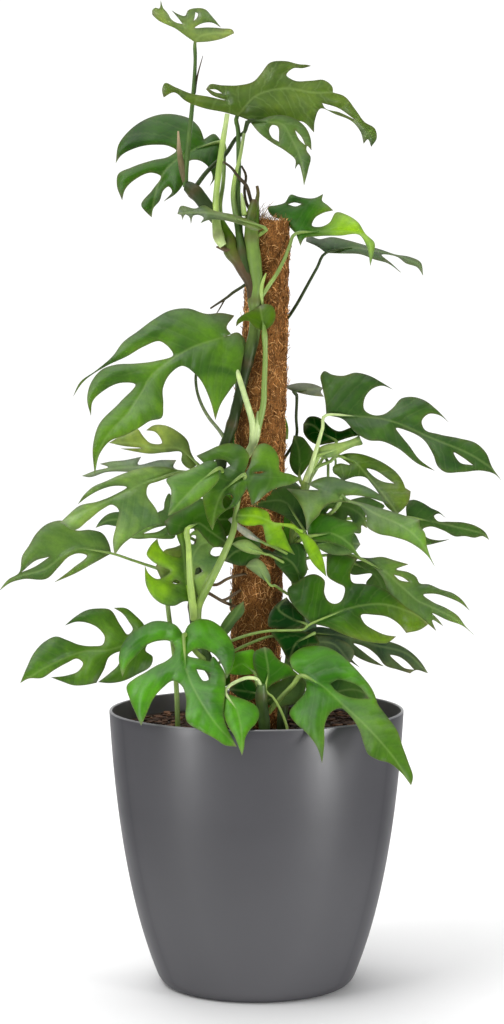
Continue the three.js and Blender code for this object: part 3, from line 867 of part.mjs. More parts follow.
function vineSolid(name, grow = 0) {
  const { radius, paths } = VINES[name];
  let solid = null;
  for (const path of paths) {
    const points = path.map(([x, z, y, own = radius]) => ({ at: seen(x, z, y), radius: own }));
    const thick = points.some((point) => point.radius > ROOT_RADIUS);
    const limb = limbSolid(points, thick ? VINE_SIDES : ROOT_SIDES, VINE_STEP, grow);
    solid = solid ? solid.add(limb) : limb;
  }
  for (const leaf of Object.values(LEAVES)) {
    if (leaf.fused && leaf.on === name) {
      solid = solid.add(leafSolid(leaf, grow));
    }
  }
  return solid;
}

// The planter is a turned shell, and the soil fills it to just under the rim.
const HEEL_CURVE = new THREE.QuadraticBezierCurve(
  new THREE.Vector2(FOOT_RADIUS, 0),
  new THREE.Vector2(FOOT_RADIUS + HEEL_FLAT, 0),
  new THREE.Vector2(HEEL_RADIUS, HEEL_HEIGHT),
);
const WALL_CURVE = new THREE.QuadraticBezierCurve(
  new THREE.Vector2(HEEL_RADIUS, HEEL_HEIGHT),
  new THREE.Vector2(BELLY_RADIUS, BELLY_HEIGHT),
  new THREE.Vector2(RIM_RADIUS, POT_HEIGHT - RIM_LIP),
);

function potSolid() {
  const outside = [...HEEL_CURVE.getPoints(HEEL_STEPS), ...WALL_CURVE.getPoints(WALL_STEPS).slice(1)];
  const inside = WALL_CURVE.getPoints(WALL_STEPS).toReversed()
    .map(({ x, y }) => new THREE.Vector2(x - POT_WALL, y));
  const profile = [
    new THREE.Vector2(0, 0),
    ...outside,
    new THREE.Vector2(RIM_RADIUS - RIM_LIP, POT_HEIGHT),
    new THREE.Vector2(RIM_RADIUS - POT_WALL + RIM_LIP, POT_HEIGHT),
    ...inside,
    new THREE.Vector2(HEEL_RADIUS - POT_WALL - FLOOR_INSET, POT_FLOOR),
    new THREE.Vector2(0, POT_FLOOR),
  ];
  return turned(profile);
}

function turned(profile) {
  const geometry = new THREE.LatheGeometry(profile, POT_SIDES);
  geometry.rotateX(Math.PI / 2);
  return solidOfGeometry(geometry);
}

function soilSolid(standing) {
  const clear = POT_WALL + SEAT_GAP;
  const rings = WALL_CURVE.getPoints(WALL_STEPS);
  const wall = rings.filter(({ y }) => y < SOIL_LEVEL);
  const above = rings[wall.length];
  const below = wall.at(-1);
  const k = (SOIL_LEVEL - below.y) / (above.y - below.y);
  const rimOfSoil = new THREE.Vector2(below.x + (above.x - below.x) * k - clear, SOIL_LEVEL);
  const profile = [
    new THREE.Vector2(0, POT_FLOOR + SEAT_GAP),
    new THREE.Vector2(HEEL_RADIUS - clear - FLOOR_INSET, POT_FLOOR + SEAT_GAP),
    ...wall.map(({ x, y }) => new THREE.Vector2(x - clear, y)),
    rimOfSoil,
    new THREE.Vector2(0, SOIL_LEVEL + SOIL_RISE),
  ];
  return standing.reduce((soil, piece) => soil.subtract(piece), turned(profile));
}

const POLE_ROUTE = [POLE_FOOT, POLE_LOW, POLE_LOW.clone().lerp(POLE_TOP, 0.5), POLE_TOP];

function coirSolid(grow = 0) {
  const points = POLE_ROUTE.map((at) => ({ at, radius: POLE_RADIUS }));
  return limbSolid(points, POLE_SIDES, POLE_STEP, grow);
}

function stakeSolid(grow = 0) {
  const lean = POLE_TOP.clone().sub(POLE_LOW).normalize();
  const top = POLE_TOP.clone().addScaledVector(lean, STAKE_PROUD);
  const foot = POLE_FOOT.clone().addScaledVector(lean, -STAKE_FOOT);
  const points = [foot, ...POLE_ROUTE, top].map((at) => ({ at, radius: STAKE_RADIUS }));
  return limbSolid(points, VINE_SIDES, POLE_STEP, grow);
}

// The pieces are made in turn. Each one keeps its seat gap to those made before it.
const plant = new THREE.Group();
const made = [];

function boxesMeet(a, b) {
  const one = a.boundingBox();
  const two = b.boundingBox();
  return [0, 1, 2].every((j) => one.min[j] < two.max[j] && two.min[j] < one.max[j]);
}

function settle(name, solid, grown, color, roughness) {
  const near = made.filter((piece) => boxesMeet(piece, solid));
  const cut = near.reduce((rest, piece) => rest.subtract(piece), solid);
  made.push(grown);
  plant.add(meshOf(largestBody(cut), name, color, roughness));
}

for (const name of Object.keys(VINES)) {
  settle(name, vineSolid(name), vineSolid(name, SEAT_GAP), VINE_GREEN, LEAF_ROUGHNESS);
}
const stems = [...made];
const coirRoom = coirSolid(SEAT_GAP);
const stakeRoom = stakeSolid(SEAT_GAP);
made.push(coirRoom, stakeRoom);

const inSoil = [];
for (const [name, leaf] of Object.entries(LEAVES)) {
  if (!leaf.fused) {
    const grown = leafSolid(leaf, SEAT_GAP);
    settle(name, leafSolid(leaf), grown, TONES[leaf.tone], LEAF_ROUGHNESS);
    if (leaf.on === 'soil') {
      inSoil.push(grown);
    }
  }
}
for (const [name, back] of Object.entries(BACK_LEAVES)) {
  const tone = TONES[LEAVES[back.like].tone];
  settle(name, backLeafSolid(back), backLeafSolid(back, SEAT_GAP), tone, LEAF_ROUGHNESS);
}

const coir = [...stems, stakeRoom].reduce((pole, piece) => pole.subtract(piece), coirSolid());
const soil = soilSolid([...stems, ...inSoil, coirRoom, stakeRoom]);
plant.add(meshOf(largestBody(coir), 'coir_pole', COIR_BROWN, RAW_ROUGHNESS));
plant.add(meshOf(stakeSolid(), 'pole_stake', STAKE_BROWN, RAW_ROUGHNESS));
plant.add(meshOf(largestBody(soil), 'soil', SOIL_BROWN, RAW_ROUGHNESS));
plant.add(meshOf(potSolid(), 'pot', POT_GREY, POT_ROUGHNESS));

export default plant;
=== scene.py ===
# A mini monstera that climbs a coir pole, in a grey plastic planter.
import math
import random

import bpy
import numpy as np
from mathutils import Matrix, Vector, geometry, noise


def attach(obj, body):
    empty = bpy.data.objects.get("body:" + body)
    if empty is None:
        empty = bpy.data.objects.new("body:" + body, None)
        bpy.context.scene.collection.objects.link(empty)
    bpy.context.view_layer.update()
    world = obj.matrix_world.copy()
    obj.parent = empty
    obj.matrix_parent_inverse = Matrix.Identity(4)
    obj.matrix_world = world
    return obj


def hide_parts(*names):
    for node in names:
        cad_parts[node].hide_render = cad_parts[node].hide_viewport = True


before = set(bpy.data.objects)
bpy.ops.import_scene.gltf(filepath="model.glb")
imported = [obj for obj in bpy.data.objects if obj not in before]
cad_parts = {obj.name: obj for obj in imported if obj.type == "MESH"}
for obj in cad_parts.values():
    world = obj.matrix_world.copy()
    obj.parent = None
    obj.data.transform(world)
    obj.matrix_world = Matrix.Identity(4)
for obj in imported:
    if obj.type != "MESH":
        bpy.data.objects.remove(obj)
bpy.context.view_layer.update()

MM = 0.001
SEED = 7
random.seed(SEED)

# The eye that the leaves are drawn from, in millimetres, and its lens
EYE = (-4.5, -2400.0, 610.0)
PITCH_DOWN = math.radians(3.258)
SENSOR_HEIGHT = 36.0
LENS = 84.62

# Planter, soil and pole, in millimetres
RIM_RADIUS = 147.5
POT_HEIGHT = 276.0
FOOT_RADIUS = 86.0
HEEL_FLAT = 10.0
HEEL = (100.5, 12.0)
BELLY = (138.2, 106.0)
POT_WALL = 3.0
POT_FLOOR = 5.0
SOIL_LEVEL = 258.0
POLE_RADIUS = 26.0
POLE_LOW = Vector((-2.5, 0.0, 250.0))
POLE_TOP = Vector((8.5, 0.0, 764.0))
STAKE_RADIUS = 4.2
STAKE_PROUD = 0.5

# How finely the leaves are made
GRID = 2.6
EDGE_STEP = 2.2
BLADE = 0.5
VEIN_REACH = 2.4


# The stems, as they are seen. A limb has its tones from start to end, then its points [x, z, depth]
# and, where it changes, the radius.
VINES = {
"main_vine": {"radius": 6, "limbs": [
  ["darkstem darkstem olivedark node root", [[-70, 797, -9, 5], [-66, 795, -10, 6.5], [-58, 788, -12, 7],
   [-51, 779, -14, 7], [-43, 768, -17, 6.5], [-33, 756, -21, 5], [-27, 745, -23, 6], [-25, 733, -25, 8],
   [-18, 724, -27, 7.5], [-12, 712, -29, 6], [-6, 700, -29, 5.5], [-3, 685, -29, 5]]],
  ["lightstem lightstem darkstem darkstem darkstem darkstem darkstem stem stem", [[-5, 757, -28, 6.5],
   [-4.5, 740, -28.5, 7], [-2, 720, -29, 7], [0, 700, -29, 6.5], [-2, 685, -29], [-1, 662, -30],
   [-4, 643, -30], [-10, 620, -28, 5.4], [-15.5, 597, -26, 5.2], [-21, 572, -24, 5.2],
   [-27, 552, -22, 5.5], [-34, 530, -20], [-40, 500, -20], [-48, 470, -22], [-56, 440, -26],
   [-61, 410, -32], [-62, 375, -38], [-58, 350, -42], [-52, 330, -44], [-43, 310, -46], [-40, 288, -48],
   [-43, 262, -50], [-46, 238, -50]]],
  ["creamstem creamstem stalk", [[2, 574, -32, 1.4], [1, 560, -32, 3.6], [-1, 549, -30, 4.2],
   [-6, 536, -26, 4], [-18, 520, -22, 4], [-34, 508, -20, 4]]],
  ["creamstem palestem palestem palestem creamstem", [[-33, 738, -31, 3.8], [-36.5, 744, -31, 5],
   [-39.5, 757, -28, 4.4], [-40.5, 778, -17, 3.4], [-39, 798, -10, 3.2], [-36.5, 818, -7, 3.1],
   [-33.5, 840, -5, 2.8], [-31, 855, -4, 2.5], [-29, 868, -4, 2.3]]],
  ["stem olivedark node", [[-4, 742, -27, 5], [-2.5, 762, -18, 5], [-1.5, 772, -14, 4.4],
   [0, 781, -11, 2.4], [1.5, 790, -9, 1.7], [0.5, 797, -8, 1.5]]],
  ["root", [[-3, 772, -12, 1.8], [-6, 784, -12, 1.8], [-10, 797, -13, 1.9], [-18, 806, -15, 1.5],
   [-25, 815, -16, 1.3], [-33, 821, -16, 1]]],
  ["root", [[-4, 770, -12, 1.8], [-10, 780, -10, 1.6], [-12, 793, -9, 1.4], [-10.5, 807, -9, 1.3],
   [-15, 817, -9, 1]]],
  ["darkstem root", [[-8, 702, -27, 1.8], [-15, 697, -24, 1.5], [-23, 692, -21, 1.5],
   [-30, 686.5, -20, 1.3], [-46, 676, -18, 0.9]]],
  ["greystem darkstem", [[-31, 546, -22, 2.2], [-38, 556, -21, 1.8], [-47, 567, -20, 1.7],
   [-54, 579, -19, 1.6], [-59, 593, -18, 1.5], [-60.5, 608, -17, 1.4], [-58, 622, -16, 1.2]]],
  ["node", [[-61, 399, -34, 1.8], [-46, 391, -32, 1.7], [-35, 384.5, -29, 1.6], [-26, 380.5, -24, 1.5],
   [-18, 378, -18, 1.3]]],
  ["node", [[-62, 405, -33, 1.8], [-51, 402, -32, 1.7], [-40, 400.5, -31, 1.6], [-30, 406, -29, 1.5],
   [-20, 409.5, -26, 1.5], [-8, 412, -20, 1.4]]],
  ["node", [[-35, 384.5, -29, 1.5], [-30, 386, -27, 1.5], [-22, 391, -23, 1.4], [-15, 396, -18, 1.2]]],
  ["palestem", [[6, 680, -31, 1.4], [4.5, 692, -33.5, 2], [6, 702, -33, 1.9], [9.5, 711, -31.5, 0.6]]],
  ["brown brown beige", [[-71, 801, -9, 2.4], [-74, 815, -8, 3.2], [-76.5, 832, -7, 2.4],
   [-77.5, 851, -6, 0.8]]],
  ["greystem palestem stem darkstem", [[-10, 861, -4, 1.3], [-13, 845, -7, 1.6], [-16.5, 825, -12, 1.8],
   [-22, 803, -14, 2], [-23, 785, -16, 2.6], [-19.5, 765, -21, 3.4], [-16.5, 746, -26, 4],
   [-13.5, 727, -30, 4.4], [-9, 708, -31, 3.5]]],
  ["node", [[-25, 733, -29, 4], [-32, 735, -29, 2.8], [-40, 737, -29, 0.8]]],
  ["stem olivedark node", [[-8, 758, -27, 4], [-5, 770, -22, 4.6], [-3, 778, -18, 4.2],
   [-2, 783, -16, 2.6]]],
  ["palestem creamstem", [[-12, 768, -26, 2.6], [-13.5, 780, -22, 2.2], [-15, 790, -18, 0.8]]],
  ["root", [[-31, 686, -20, 0.8], [-36, 677, -20, 0.7], [-41, 669, -20, 0.4]]],
  ["darkstem node root", [[-61.2, 888, 1, 1.2], [-58.5, 905, 2, 0.9], [-53, 925, 3, 0.3]]]]},
"right_vine": {"radius": 5, "limbs": [
  ["palestem lightstem stem darkstem", [[65, 537, -14, 3.2], [56, 520, -12, 3.8], [50, 503, -10, 4.5],
   [43, 480, -10], [38, 455, -12], [38, 430, -15], [40, 405, -18], [40, 380, -22], [37, 350, -29],
   [31, 310, -36], [26, 270, -41], [25, 238, -43]]],
  ["stalk", [[60, 530, -13, 2], [66, 529, -11, 1.7], [71, 524, -9, 1.5], [71.5, 508, -7, 1.4],
   [73, 494, -6, 1]]],
  ["stalk", [[66, 530, -12, 1.6], [76, 529, -9, 1.4], [79, 524, -7, 1.2], [77.5, 513, -6, 1]]]]},
"back_vine": {"radius": 6, "limbs": [
  ["stem", [[12, 735, 27, 4], [8, 680, 28], [12, 620, 28], [6, 560, 28], [9, 500, 28], [2, 440, 28],
   [2, 380, 29], [-2, 320, 30], [0, 260, 31], [0, 232, 31]]]]},
"front_stem": {"radius": 5.5, "limbs": [
  ["stem", [[5, 300, -97, 4], [5, 285, -95], [7, 270, -93], [8, 255, -92], [8, 238, -92]]]]}
}

# The leaves in front, as they are seen. tone is the blade's colour and stem the stalk's. second is a
# tone that the blade runs into, between two points: on some leaves a colour of the leaf, on others
# painted shade over the part that lies in shade. lace is how strongly side veins show, and matt how
# much gloss is taken off. y is the depth of the leaf base and slope the change of depth for each
# millimetre right and up. fold and bend shape the blade. A fused leaf is part of the stem it names.
# edge starts at the leaf base and touches the tip, which ends the rib. It turns sharply at points
# marked 1, as holes do. stalk goes from base to foot and starts this far behind the blade, where
# behind is given. thick is the stalk's radius at both ends.
LEAVES = {
"leaf_top": {"tone": "olive", "stem": "stem", "lace": 0.2, "y": 5, "slope": [0.1, -0.5], "fold": 0.1,
 "rib": [[-56, 944], [-42, 947], [-22, 947]],
 "edge": [[-60.7, 938, 1], [-66, 941.5], [-73, 946.5], [-80, 951.5], [-89, 955.5], [-97, 959.5],
  [-103, 965, 1], [-103, 969.5], [-99.5, 972], [-96.5, 971], [-94.5, 979.5, 1], [-92, 971.5], [-88, 967],
  [-83.5, 960], [-79, 957.3], [-73, 956, 1], [-76, 960], [-80, 964.8], [-84, 969.5, 1], [-77, 965.5],
  [-70.5, 964], [-68, 969], [-60, 971.5], [-51, 970.5], [-44, 963.5], [-35, 952.5, 1], [-44, 957.3],
  [-54, 956.5], [-61, 952.5], [-48, 952.7], [-34, 951.7], [-23, 949.5], [-22, 947, 1], [-33, 942],
  [-46, 939]],
 "holes": [[[-60.3, 967.5, 1], [-58, 966.5], [-58.6, 962.5], [-62, 959, 1], [-61, 963]]],
 "stalk": [[-60.5, 923, 3], [-61.3, 904, 1], [-64, 871, -2], [-67, 843, -4], [-70, 810, -8],
  [-70, 796, -9]], "thick": [1.5, 3.1]},
"leaf_crown": {"tone": "veined", "stem": "stem", "lace": 0.24, "y": 0, "slope": [0.08, -0.4],
 "fold": 0.05,
 "rib": [[0, 886], [28, 893], [56, 889], [75.5, 889]],
 "edge": [[-19, 866, 1], [-32, 869.5], [-52, 873.5], [-70, 880.5], [-82, 889], [-92, 884, 1],
  [-93.5, 892], [-91, 898], [-80, 894], [-66, 888.3], [-48, 885], [-31, 881.5], [-45, 887], [-50, 892, 1],
  [-47, 896.3], [-34, 896], [-18, 896], [-2, 900.5], [4, 907], [13, 918], [28, 919.8], [43, 916.5],
  [50.5, 916], [54, 915, 1], [46, 912.8], [36, 912.5], [29.5, 906], [36, 901.2], [54, 900.5], [67, 901],
  [75.5, 893], [75.5, 889, 1], [86, 885.8], [98, 872], [107, 860], [117.5, 853], [119, 844],
  [113.5, 835.5, 1], [110, 843], [106, 838.5, 1], [103, 850], [95, 860], [78, 867.5], [63, 873],
  [57.5, 860], [57, 849.5, 1], [46, 860], [26, 859], [4, 858.5]],
 "holes": [[[65, 878.5, 1], [80, 874], [97, 862.5, 1], [82, 869.5], [67, 874.5]],
  [[-46.5, 892, 1], [-40, 891.8], [-34, 888, 1], [-40, 888.8]]],
 "stalk": [[-18, 850, 0], [-17.6, 815, -4], [-18.5, 787, -10], [-17, 765, -18],
  [-16, 742, -25]], "thick": [2.2, 3.2]},
"leaf_crown_front": {"tone": "mid", "stem": "darkstem", "lace": 0.22, "y": -16, "slope": [0, 0.5],
 "fold": 0.1,
 "rib": [[10, 860], [26, 857], [34, 844], [42, 828], [46, 812], [47, 797]],
 "edge": [[-7, 861, 1], [4, 862.5], [15, 866], [28, 866.3], [40, 862], [49, 854], [53.5, 844],
  [54.5, 832, 1], [50, 836.5], [49.5, 832.5], [53.5, 826], [51.5, 814], [47, 797, 1], [45, 809],
  [41.5, 818.5], [38, 813.5, 1], [38.5, 822.5], [30, 830.5], [14, 840.5], [2, 850]],
 "holes": [[[12.5, 852], [15.5, 857], [19.5, 856.5], [22.3, 840.5, 1], [15, 845]],
  [[38, 852, 1], [44, 846], [48.3, 837, 1], [42, 843]]],
 "stalk": [[-12, 850, -6], [-21, 843, 9], [-30, 829, 8], [-40, 820, 4], [-50, 810, -4],
  [-59, 798, -10]], "thick": [1.9, 2.4]},
"leaf_upper_left": {"tone": "dark", "y": 18, "slope": [-0.1, 0.4], "fold": 0.15,
 "rib": [[-60, 834], [-89, 814], [-100, 790], [-104, 766]],
 "edge": [[-34, 840, 1], [-42, 848.3], [-52, 843, 1], [-56, 853.5], [-64, 862], [-78, 867], [-94, 867.5],
  [-110, 862.5], [-127, 850.5], [-136.5, 838], [-139.5, 819.5, 1], [-135, 826], [-120, 834.3],
  [-100, 837.6], [-86, 836], [-79.5, 832], [-86, 826.5], [-103, 822.3], [-124, 815.3], [-137.5, 808],
  [-138.5, 798], [-133.3, 782.7, 1], [-130.5, 793], [-119, 804.3], [-103, 810], [-95.2, 807],
  [-103, 793.5], [-114, 776.5], [-111, 772.7], [-104, 766, 1], [-102.5, 774.5], [-96, 782.5], [-92, 793],
  [-87, 796.5], [-84, 793], [-92, 781.7, 1], [-79, 790.3], [-70, 804], [-66, 822], [-58, 822.5],
  [-48, 816], [-43.5, 805], [-46.7, 796.4, 1], [-40, 806], [-33, 824]],
 "stalk": [[-32, 822, 10], [-33, 800, 0], [-36, 778, -10], [-34, 762, -16]], "thick": [1.8, 2.4]},
"leaf_upper_edge": {"tone": "upper_edge", "y": -40, "slope": [0.5, 2],
 "rib": [[-20, 764], [-50, 770.5], [-78.5, 769.5]],
 "edge": [[8, 756, 1], [-8, 764], [-24, 769], [-42, 772.6], [-53, 777.8], [-60, 774.8], [-76, 776.5],
  [-78.5, 769.5, 1], [-75, 768.6], [-73.5, 763.5, 1], [-70.5, 769], [-67.3, 767.5], [-65, 759.5, 1],
  [-62.3, 768], [-56.5, 768.4], [-52.5, 766], [-55.5, 760.5, 1], [-48, 763.5], [-36, 763.7], [-14, 758.5],
  [0, 753]],
 "stalk": [[7, 752, -34], [1, 748, -28]], "thick": [1.8, 2.2]},
"leaf_upper_right": {"tone": "bluegreen", "stem": "stalk", "second": ["lime", [48, 772], [105, 765]],
 "matt": 0.1, "y": -12, "slope": [-0.25, 0.6], "fold": 0.1,
 "rib": [[62, 752], [92, 752], [107, 747], [113, 737], [113, 718]],
 "edge": [[39, 750, 1], [25, 763.5], [14, 768.5], [11, 776], [20, 778], [28, 780.5], [34, 788.5],
  [42, 786.3], [58, 785.2], [66, 789, 1], [65, 782.5], [70, 778.5], [76, 773, 1], [66, 770.5],
  [57.5, 765], [55, 758], [64, 756.8], [72, 760.5], [79, 771], [90, 768.3], [101, 761], [108, 750],
  [117.5, 740], [116, 730], [113, 718, 1], [109, 738], [103, 748], [82, 748], [60, 747.3], [47, 745],
  [43.5, 738, 1]],
 "holes": [[[31, 779, 1], [37, 780.8], [45, 779.3, 1], [39, 776.8]]],
 "stalk": [[33, 738, -18], [28, 725, -24], [20, 710, -30], [12, 698, -33],
  [4, 686, -31]], "thick": [1.7, 2.4]},
"leaf_right_edge": {"tone": "deepgrey", "stem": "darkstem", "y": 0, "slope": [0.25, 1.6],
 "rib": [[95, 736], [122, 732], [140, 728.2], [152, 723.5], [161.5, 718.5], [165.5, 708.5]],
 "edge": [[69, 731, 1], [61, 737], [49, 742.5, 1], [50, 747.8], [62, 744.5], [74, 746.5], [90, 743.5],
  [108, 738.5], [124, 734], [138, 729.3], [152, 727], [163, 721.5], [165.5, 708.5, 1], [160, 716.5],
  [148, 721], [140, 727], [124, 729], [134, 720.5], [143.5, 711.5, 1], [130, 721], [118, 724.3],
  [104, 729.5], [84, 730.5]],
 "stalk": [[60, 716, 2], [50, 698, 6], [40, 680, 12], [29, 664, 22], [13, 648, 28]], "thick": [1.5, 2]},
"leaf_pole_young": {"tone": "pole_young", "stem": "stalk", "matt": 0.1, "y": -44, "slope": [0, 0.3],
 "fold": -0.2,
 "rib": [[6, 664], [3, 678.5]],
 "edge": [[8, 654, 1], [-1, 656.5], [-9, 664], [-15, 662.5], [-20.5, 658, 1], [-19.5, 664], [-14, 669.5],
  [-7, 673], [3, 678.5, 1], [9, 680.5], [15.5, 678.5], [19, 670], [16.5, 661]],
 "stalk": [[9, 630, -40], [8, 600, -37], [7, 580, -35], [1, 553, -30.5]], "thick": [2.4, 3.6]},
# Its second tone, darkgrey on the base lobe, is painted shade.
"leaf_big_left": {"tone": "deep", "stem": "creamstem", "behind": 9,
 "second": ["darkgrey", [-50, 655], [-36, 671]], "y": -34, "slope": [0.12, 0.45], "fold": 0.12,
 "rib": [[-67, 636], [-102, 612], [-115, 592], [-130, 570], [-147, 552], [-158.5, 530], [-161.5, 509]],
 "edge": [[-31.5, 648, 1], [-25.5, 650.3], [-29.5, 656], [-22, 669, 1], [-34, 671.5], [-50, 670.7],
  [-68, 676], [-86, 674], [-102, 665.3], [-118, 653.5], [-133, 642.3], [-143, 629], [-160, 614.3],
  [-176, 602.5], [-183, 588, 1], [-173, 602.5], [-152, 617.5], [-128, 629], [-112, 638.3], [-96, 643.5],
  [-83, 629.7], [-100, 624], [-122, 621.3], [-140, 620.3], [-153, 616], [-165, 602], [-168.8, 586],
  [-165, 569, 1], [-163, 584], [-152, 594.5], [-136, 602], [-121, 601], [-136, 583], [-158, 559],
  [-163, 541], [-161.5, 509, 1], [-156, 532], [-147, 543.5], [-130, 550.5], [-117.5, 557], [-106, 564.3],
  [-94.5, 567.5], [-92.8, 580], [-93, 597], [-86, 611], [-74, 619], [-60, 610], [-46, 584], [-41, 565, 1],
  [-36, 580], [-26, 595.5], [-18, 606.5], [-14, 625], [-11.5, 645], [-18, 652]],
 "stalk": [[-24, 626, -29], [-17.5, 608, -44], [-11, 587, -41], [-4, 562, -34],
  [-4, 540, -26]], "thick": [2.2, 3.6]},
"leaf_olive_left": {"tone": "olive", "y": -22, "slope": [0.1, 0.5],
 "rib": [[-69.5, 531], [-80, 537.5], [-100, 537], [-118, 541.5], [-147, 542.5]],
 "edge": [[-58.5, 521, 1], [-65, 532], [-69, 545], [-79, 554], [-92, 560], [-103, 559.8], [-110, 555, 1],
  [-101, 553.3], [-94.5, 542], [-106, 542.3], [-113, 549], [-118.5, 556.3], [-132, 551], [-147, 542.5, 1],
  [-133, 539.4], [-115, 537.3], [-135.5, 536.7, 1], [-120, 533.5], [-106, 531.6], [-90, 533],
  [-74.5, 532.3], [-75, 524.5], [-66, 516.5]],
 "stalk": [[-52, 512, -22], [-40, 505, -20]], "thick": [1.6, 2.2]},
"leaf_left_edge": {"tone": "grey", "y": 4, "slope": [0.2, 1.5],
 "rib": [[-105, 518], [-140, 517], [-174, 509.5]],
 "edge": [[-75, 514, 1], [-83, 518.5], [-80, 525.2, 1], [-96, 525.2], [-118.5, 522], [-115, 528.5, 1],
  [-132, 525], [-146, 523.7], [-156, 521.5, 1], [-148, 518.5], [-162, 514.3], [-174, 509.5, 1],
  [-168, 508.3], [-150, 513.3], [-125, 513.5], [-100, 512], [-86, 511]],
 "stalk": [[-62, 513, -2], [-50, 516, -8], [-38, 516, -20]], "thick": [1.5, 2]},
"leaf_long_left": {"tone": "long_left", "y": -20, "slope": [0.25, 0.7],
 "rib": [[-110, 503], [-145, 486], [-170, 475], [-196, 463]],
 "edge": [[-76, 513, 1], [-86, 517.3], [-100, 518.7], [-118, 516.5], [-134, 511.3], [-150, 504.3],
  [-164, 498], [-173, 489.5], [-178.5, 481, 1], [-168, 489], [-155, 496], [-142, 499.5], [-129.5, 498.3],
  [-142, 490.5], [-158, 484], [-178, 479], [-188, 470.5], [-196, 463, 1], [-181.5, 455.5], [-168, 465],
  [-153, 476.7], [-144, 480.7], [-138.5, 477], [-140, 461], [-143.5, 445], [-142, 430, 1], [-134, 440.5],
  [-121, 450.5], [-108, 458.5], [-95, 462.5], [-100, 475.5], [-109.8, 493], [-108, 500], [-98, 504],
  [-87, 508]],
 "stalk": [[-62, 506, -18], [-42, 497, -20]], "thick": [1.7, 2.2]},
"leaf_far_left": {"tone": "mid", "second": ["darkgrey", [-165, 455], [-125, 440]], "y": -12,
 "slope": [0.2, 0.45],
 "rib": [[-175, 437], [-195, 428], [-212, 416], [-236, 409.5], [-247, 404.5], [-258, 394]],
 "edge": [[-145, 432, 1], [-148, 443], [-154, 452], [-166, 455.5], [-181, 455.3], [-192, 464.3],
  [-210, 461], [-220, 452], [-228, 439], [-234, 430], [-238, 412], [-248, 406], [-258, 394, 1],
  [-246, 402.5], [-234, 406], [-209, 407], [-198, 418], [-187, 429], [-178, 432], [-170, 430.3],
  [-184, 417], [-202.5, 402.8, 1], [-182, 411.5], [-162, 422.5]],
 "holes": [[[-207, 428.5, 1], [-220, 425], [-235, 413, 1], [-222, 418.5]]],
 "stalk": [[-125, 425.5, -11], [-110, 420.5, -10], [-97, 416, -12], [-80, 407, -18],
  [-62, 398, -28]], "thick": [1.3, 2]},
"leaf_left_slit": {"tone": "left_slit", "y": -18, "slope": [0.2, 0.4],
 "rib": [[-92, 451], [-105, 449.5], [-118, 449], [-131, 448]],
 "edge": [[-80, 455, 1], [-79, 470], [-84, 488], [-87, 492], [-92, 483], [-93, 476], [-98, 473.5],
  [-101, 463.5], [-113, 459], [-122, 453.7], [-131, 448, 1], [-118, 446.3], [-104, 447.2], [-91, 446.3],
  [-82, 447.5]],
 "holes": [[[-113, 451.8, 1], [-101, 457.5], [-88.5, 460, 1], [-98, 454]]],
 "stalk": [[-70, 450, -22], [-56, 442, -26]], "thick": [1.4, 1.8]},
"leaf_shade_left_edge": {"tone": "grey", "stem": "darkstem", "y": -10, "slope": [0, 0.2],
 "fused": "main_vine",
 "rib": [[-132, 466], [-148, 465], [-161, 457.5]],
 "edge": [[-124, 465, 1], [-128, 459], [-140, 459], [-150, 460.5], [-161, 457.5, 1], [-156, 465],
  [-148, 471.5], [-138, 473.5], [-129, 471]],
 "stalk": [[-100, 461.5, -7], [-75, 462.5, -12], [-50, 467, -22]], "thick": [1.3, 1.6]},
"leaf_centre": {"tone": "deep", "y": -56, "slope": [0, 0.35], "fold": 0.12,
 "rib": [[-32, 496], [-41, 476], [-44, 455]],
 "edge": [[-12, 511, 1], [-7, 520], [-4, 533, 1], [1, 540], [8, 542], [16, 538], [22, 528], [24, 514],
  [34, 511.3], [45, 506.5, 1], [36, 501.5], [22, 498], [11, 492.5], [3, 485.5], [-5, 480, 1], [-6.5, 488],
  [-9.5, 497, 1], [-15, 488], [-20, 480], [-31, 474.7], [-39, 467], [-44, 455, 1], [-48.5, 464],
  [-52, 477], [-54, 494], [-50, 511], [-52, 521], [-60, 529.5, 1], [-50, 534], [-38, 539.5], [-27, 542],
  [-16, 539.8], [-8, 532]],
 "holes": [[[-43, 524], [-31, 524.7], [-26.3, 519.8, 1], [-33.5, 515.5, 1], [-41, 517.5]],
  [[-33.5, 486], [-29, 491], [-24.5, 490], [-26.5, 480], [-31, 476.5]],
  [[-3.5, 512.3, 1], [2, 514], [8.5, 513.7, 1], [3, 511.6]]],
 "stalk": [[-17, 492, -52], [-21, 470, -52], [-24, 452, -60], [-35, 426, -66], [-48, 400, -60],
  [-58, 380, -46], [-60, 362, -40]], "thick": [2, 4.6]},
"leaf_centre_left": {"tone": "bright", "y": -72, "slope": [0.1, 0.6],
 "rib": [[-55, 505], [-72, 488], [-88.5, 469.5]],
 "edge": [[-38, 517, 1], [-41, 524], [-48, 524.3], [-58, 520], [-70, 514.7], [-84, 509.5], [-90, 506],
  [-85.5, 496], [-86, 484], [-88.5, 469.5, 1], [-78, 474.3], [-64, 481.5], [-54, 488.5], [-44, 497.5],
  [-37, 507.5]],
 "stalk": [[-34, 512, -46], [-36, 502, -33], [-42, 488, -22]], "thick": [1.8, 2.2]},
"leaf_low_centre": {"tone": "dark", "stem": "palestem", "y": -56, "slope": [0, 0.5], "fold": 0.1,
 "rib": [[-58, 462], [-45, 453], [-28, 441]],
 "edge": [[-69, 456, 1], [-78, 451], [-86, 450], [-92, 463.5, 1], [-84, 471], [-68, 480], [-56, 487],
  [-47, 483], [-39, 468], [-31, 452], [-28, 441, 1], [-43, 438.5], [-52, 447], [-61, 456.5]],
 "stalk": [[-68, 440, -64], [-67, 420, -66], [-66, 402, -62], [-64, 383, -52],
  [-62, 364, -40]], "thick": [2.4, 4.4]},
"leaf_between": {"tone": "long_left", "y": -44, "slope": [0, 0.2],
 "rib": [[-65, 410], [-63.5, 428], [-56, 440], [-44, 444], [-32, 446]],
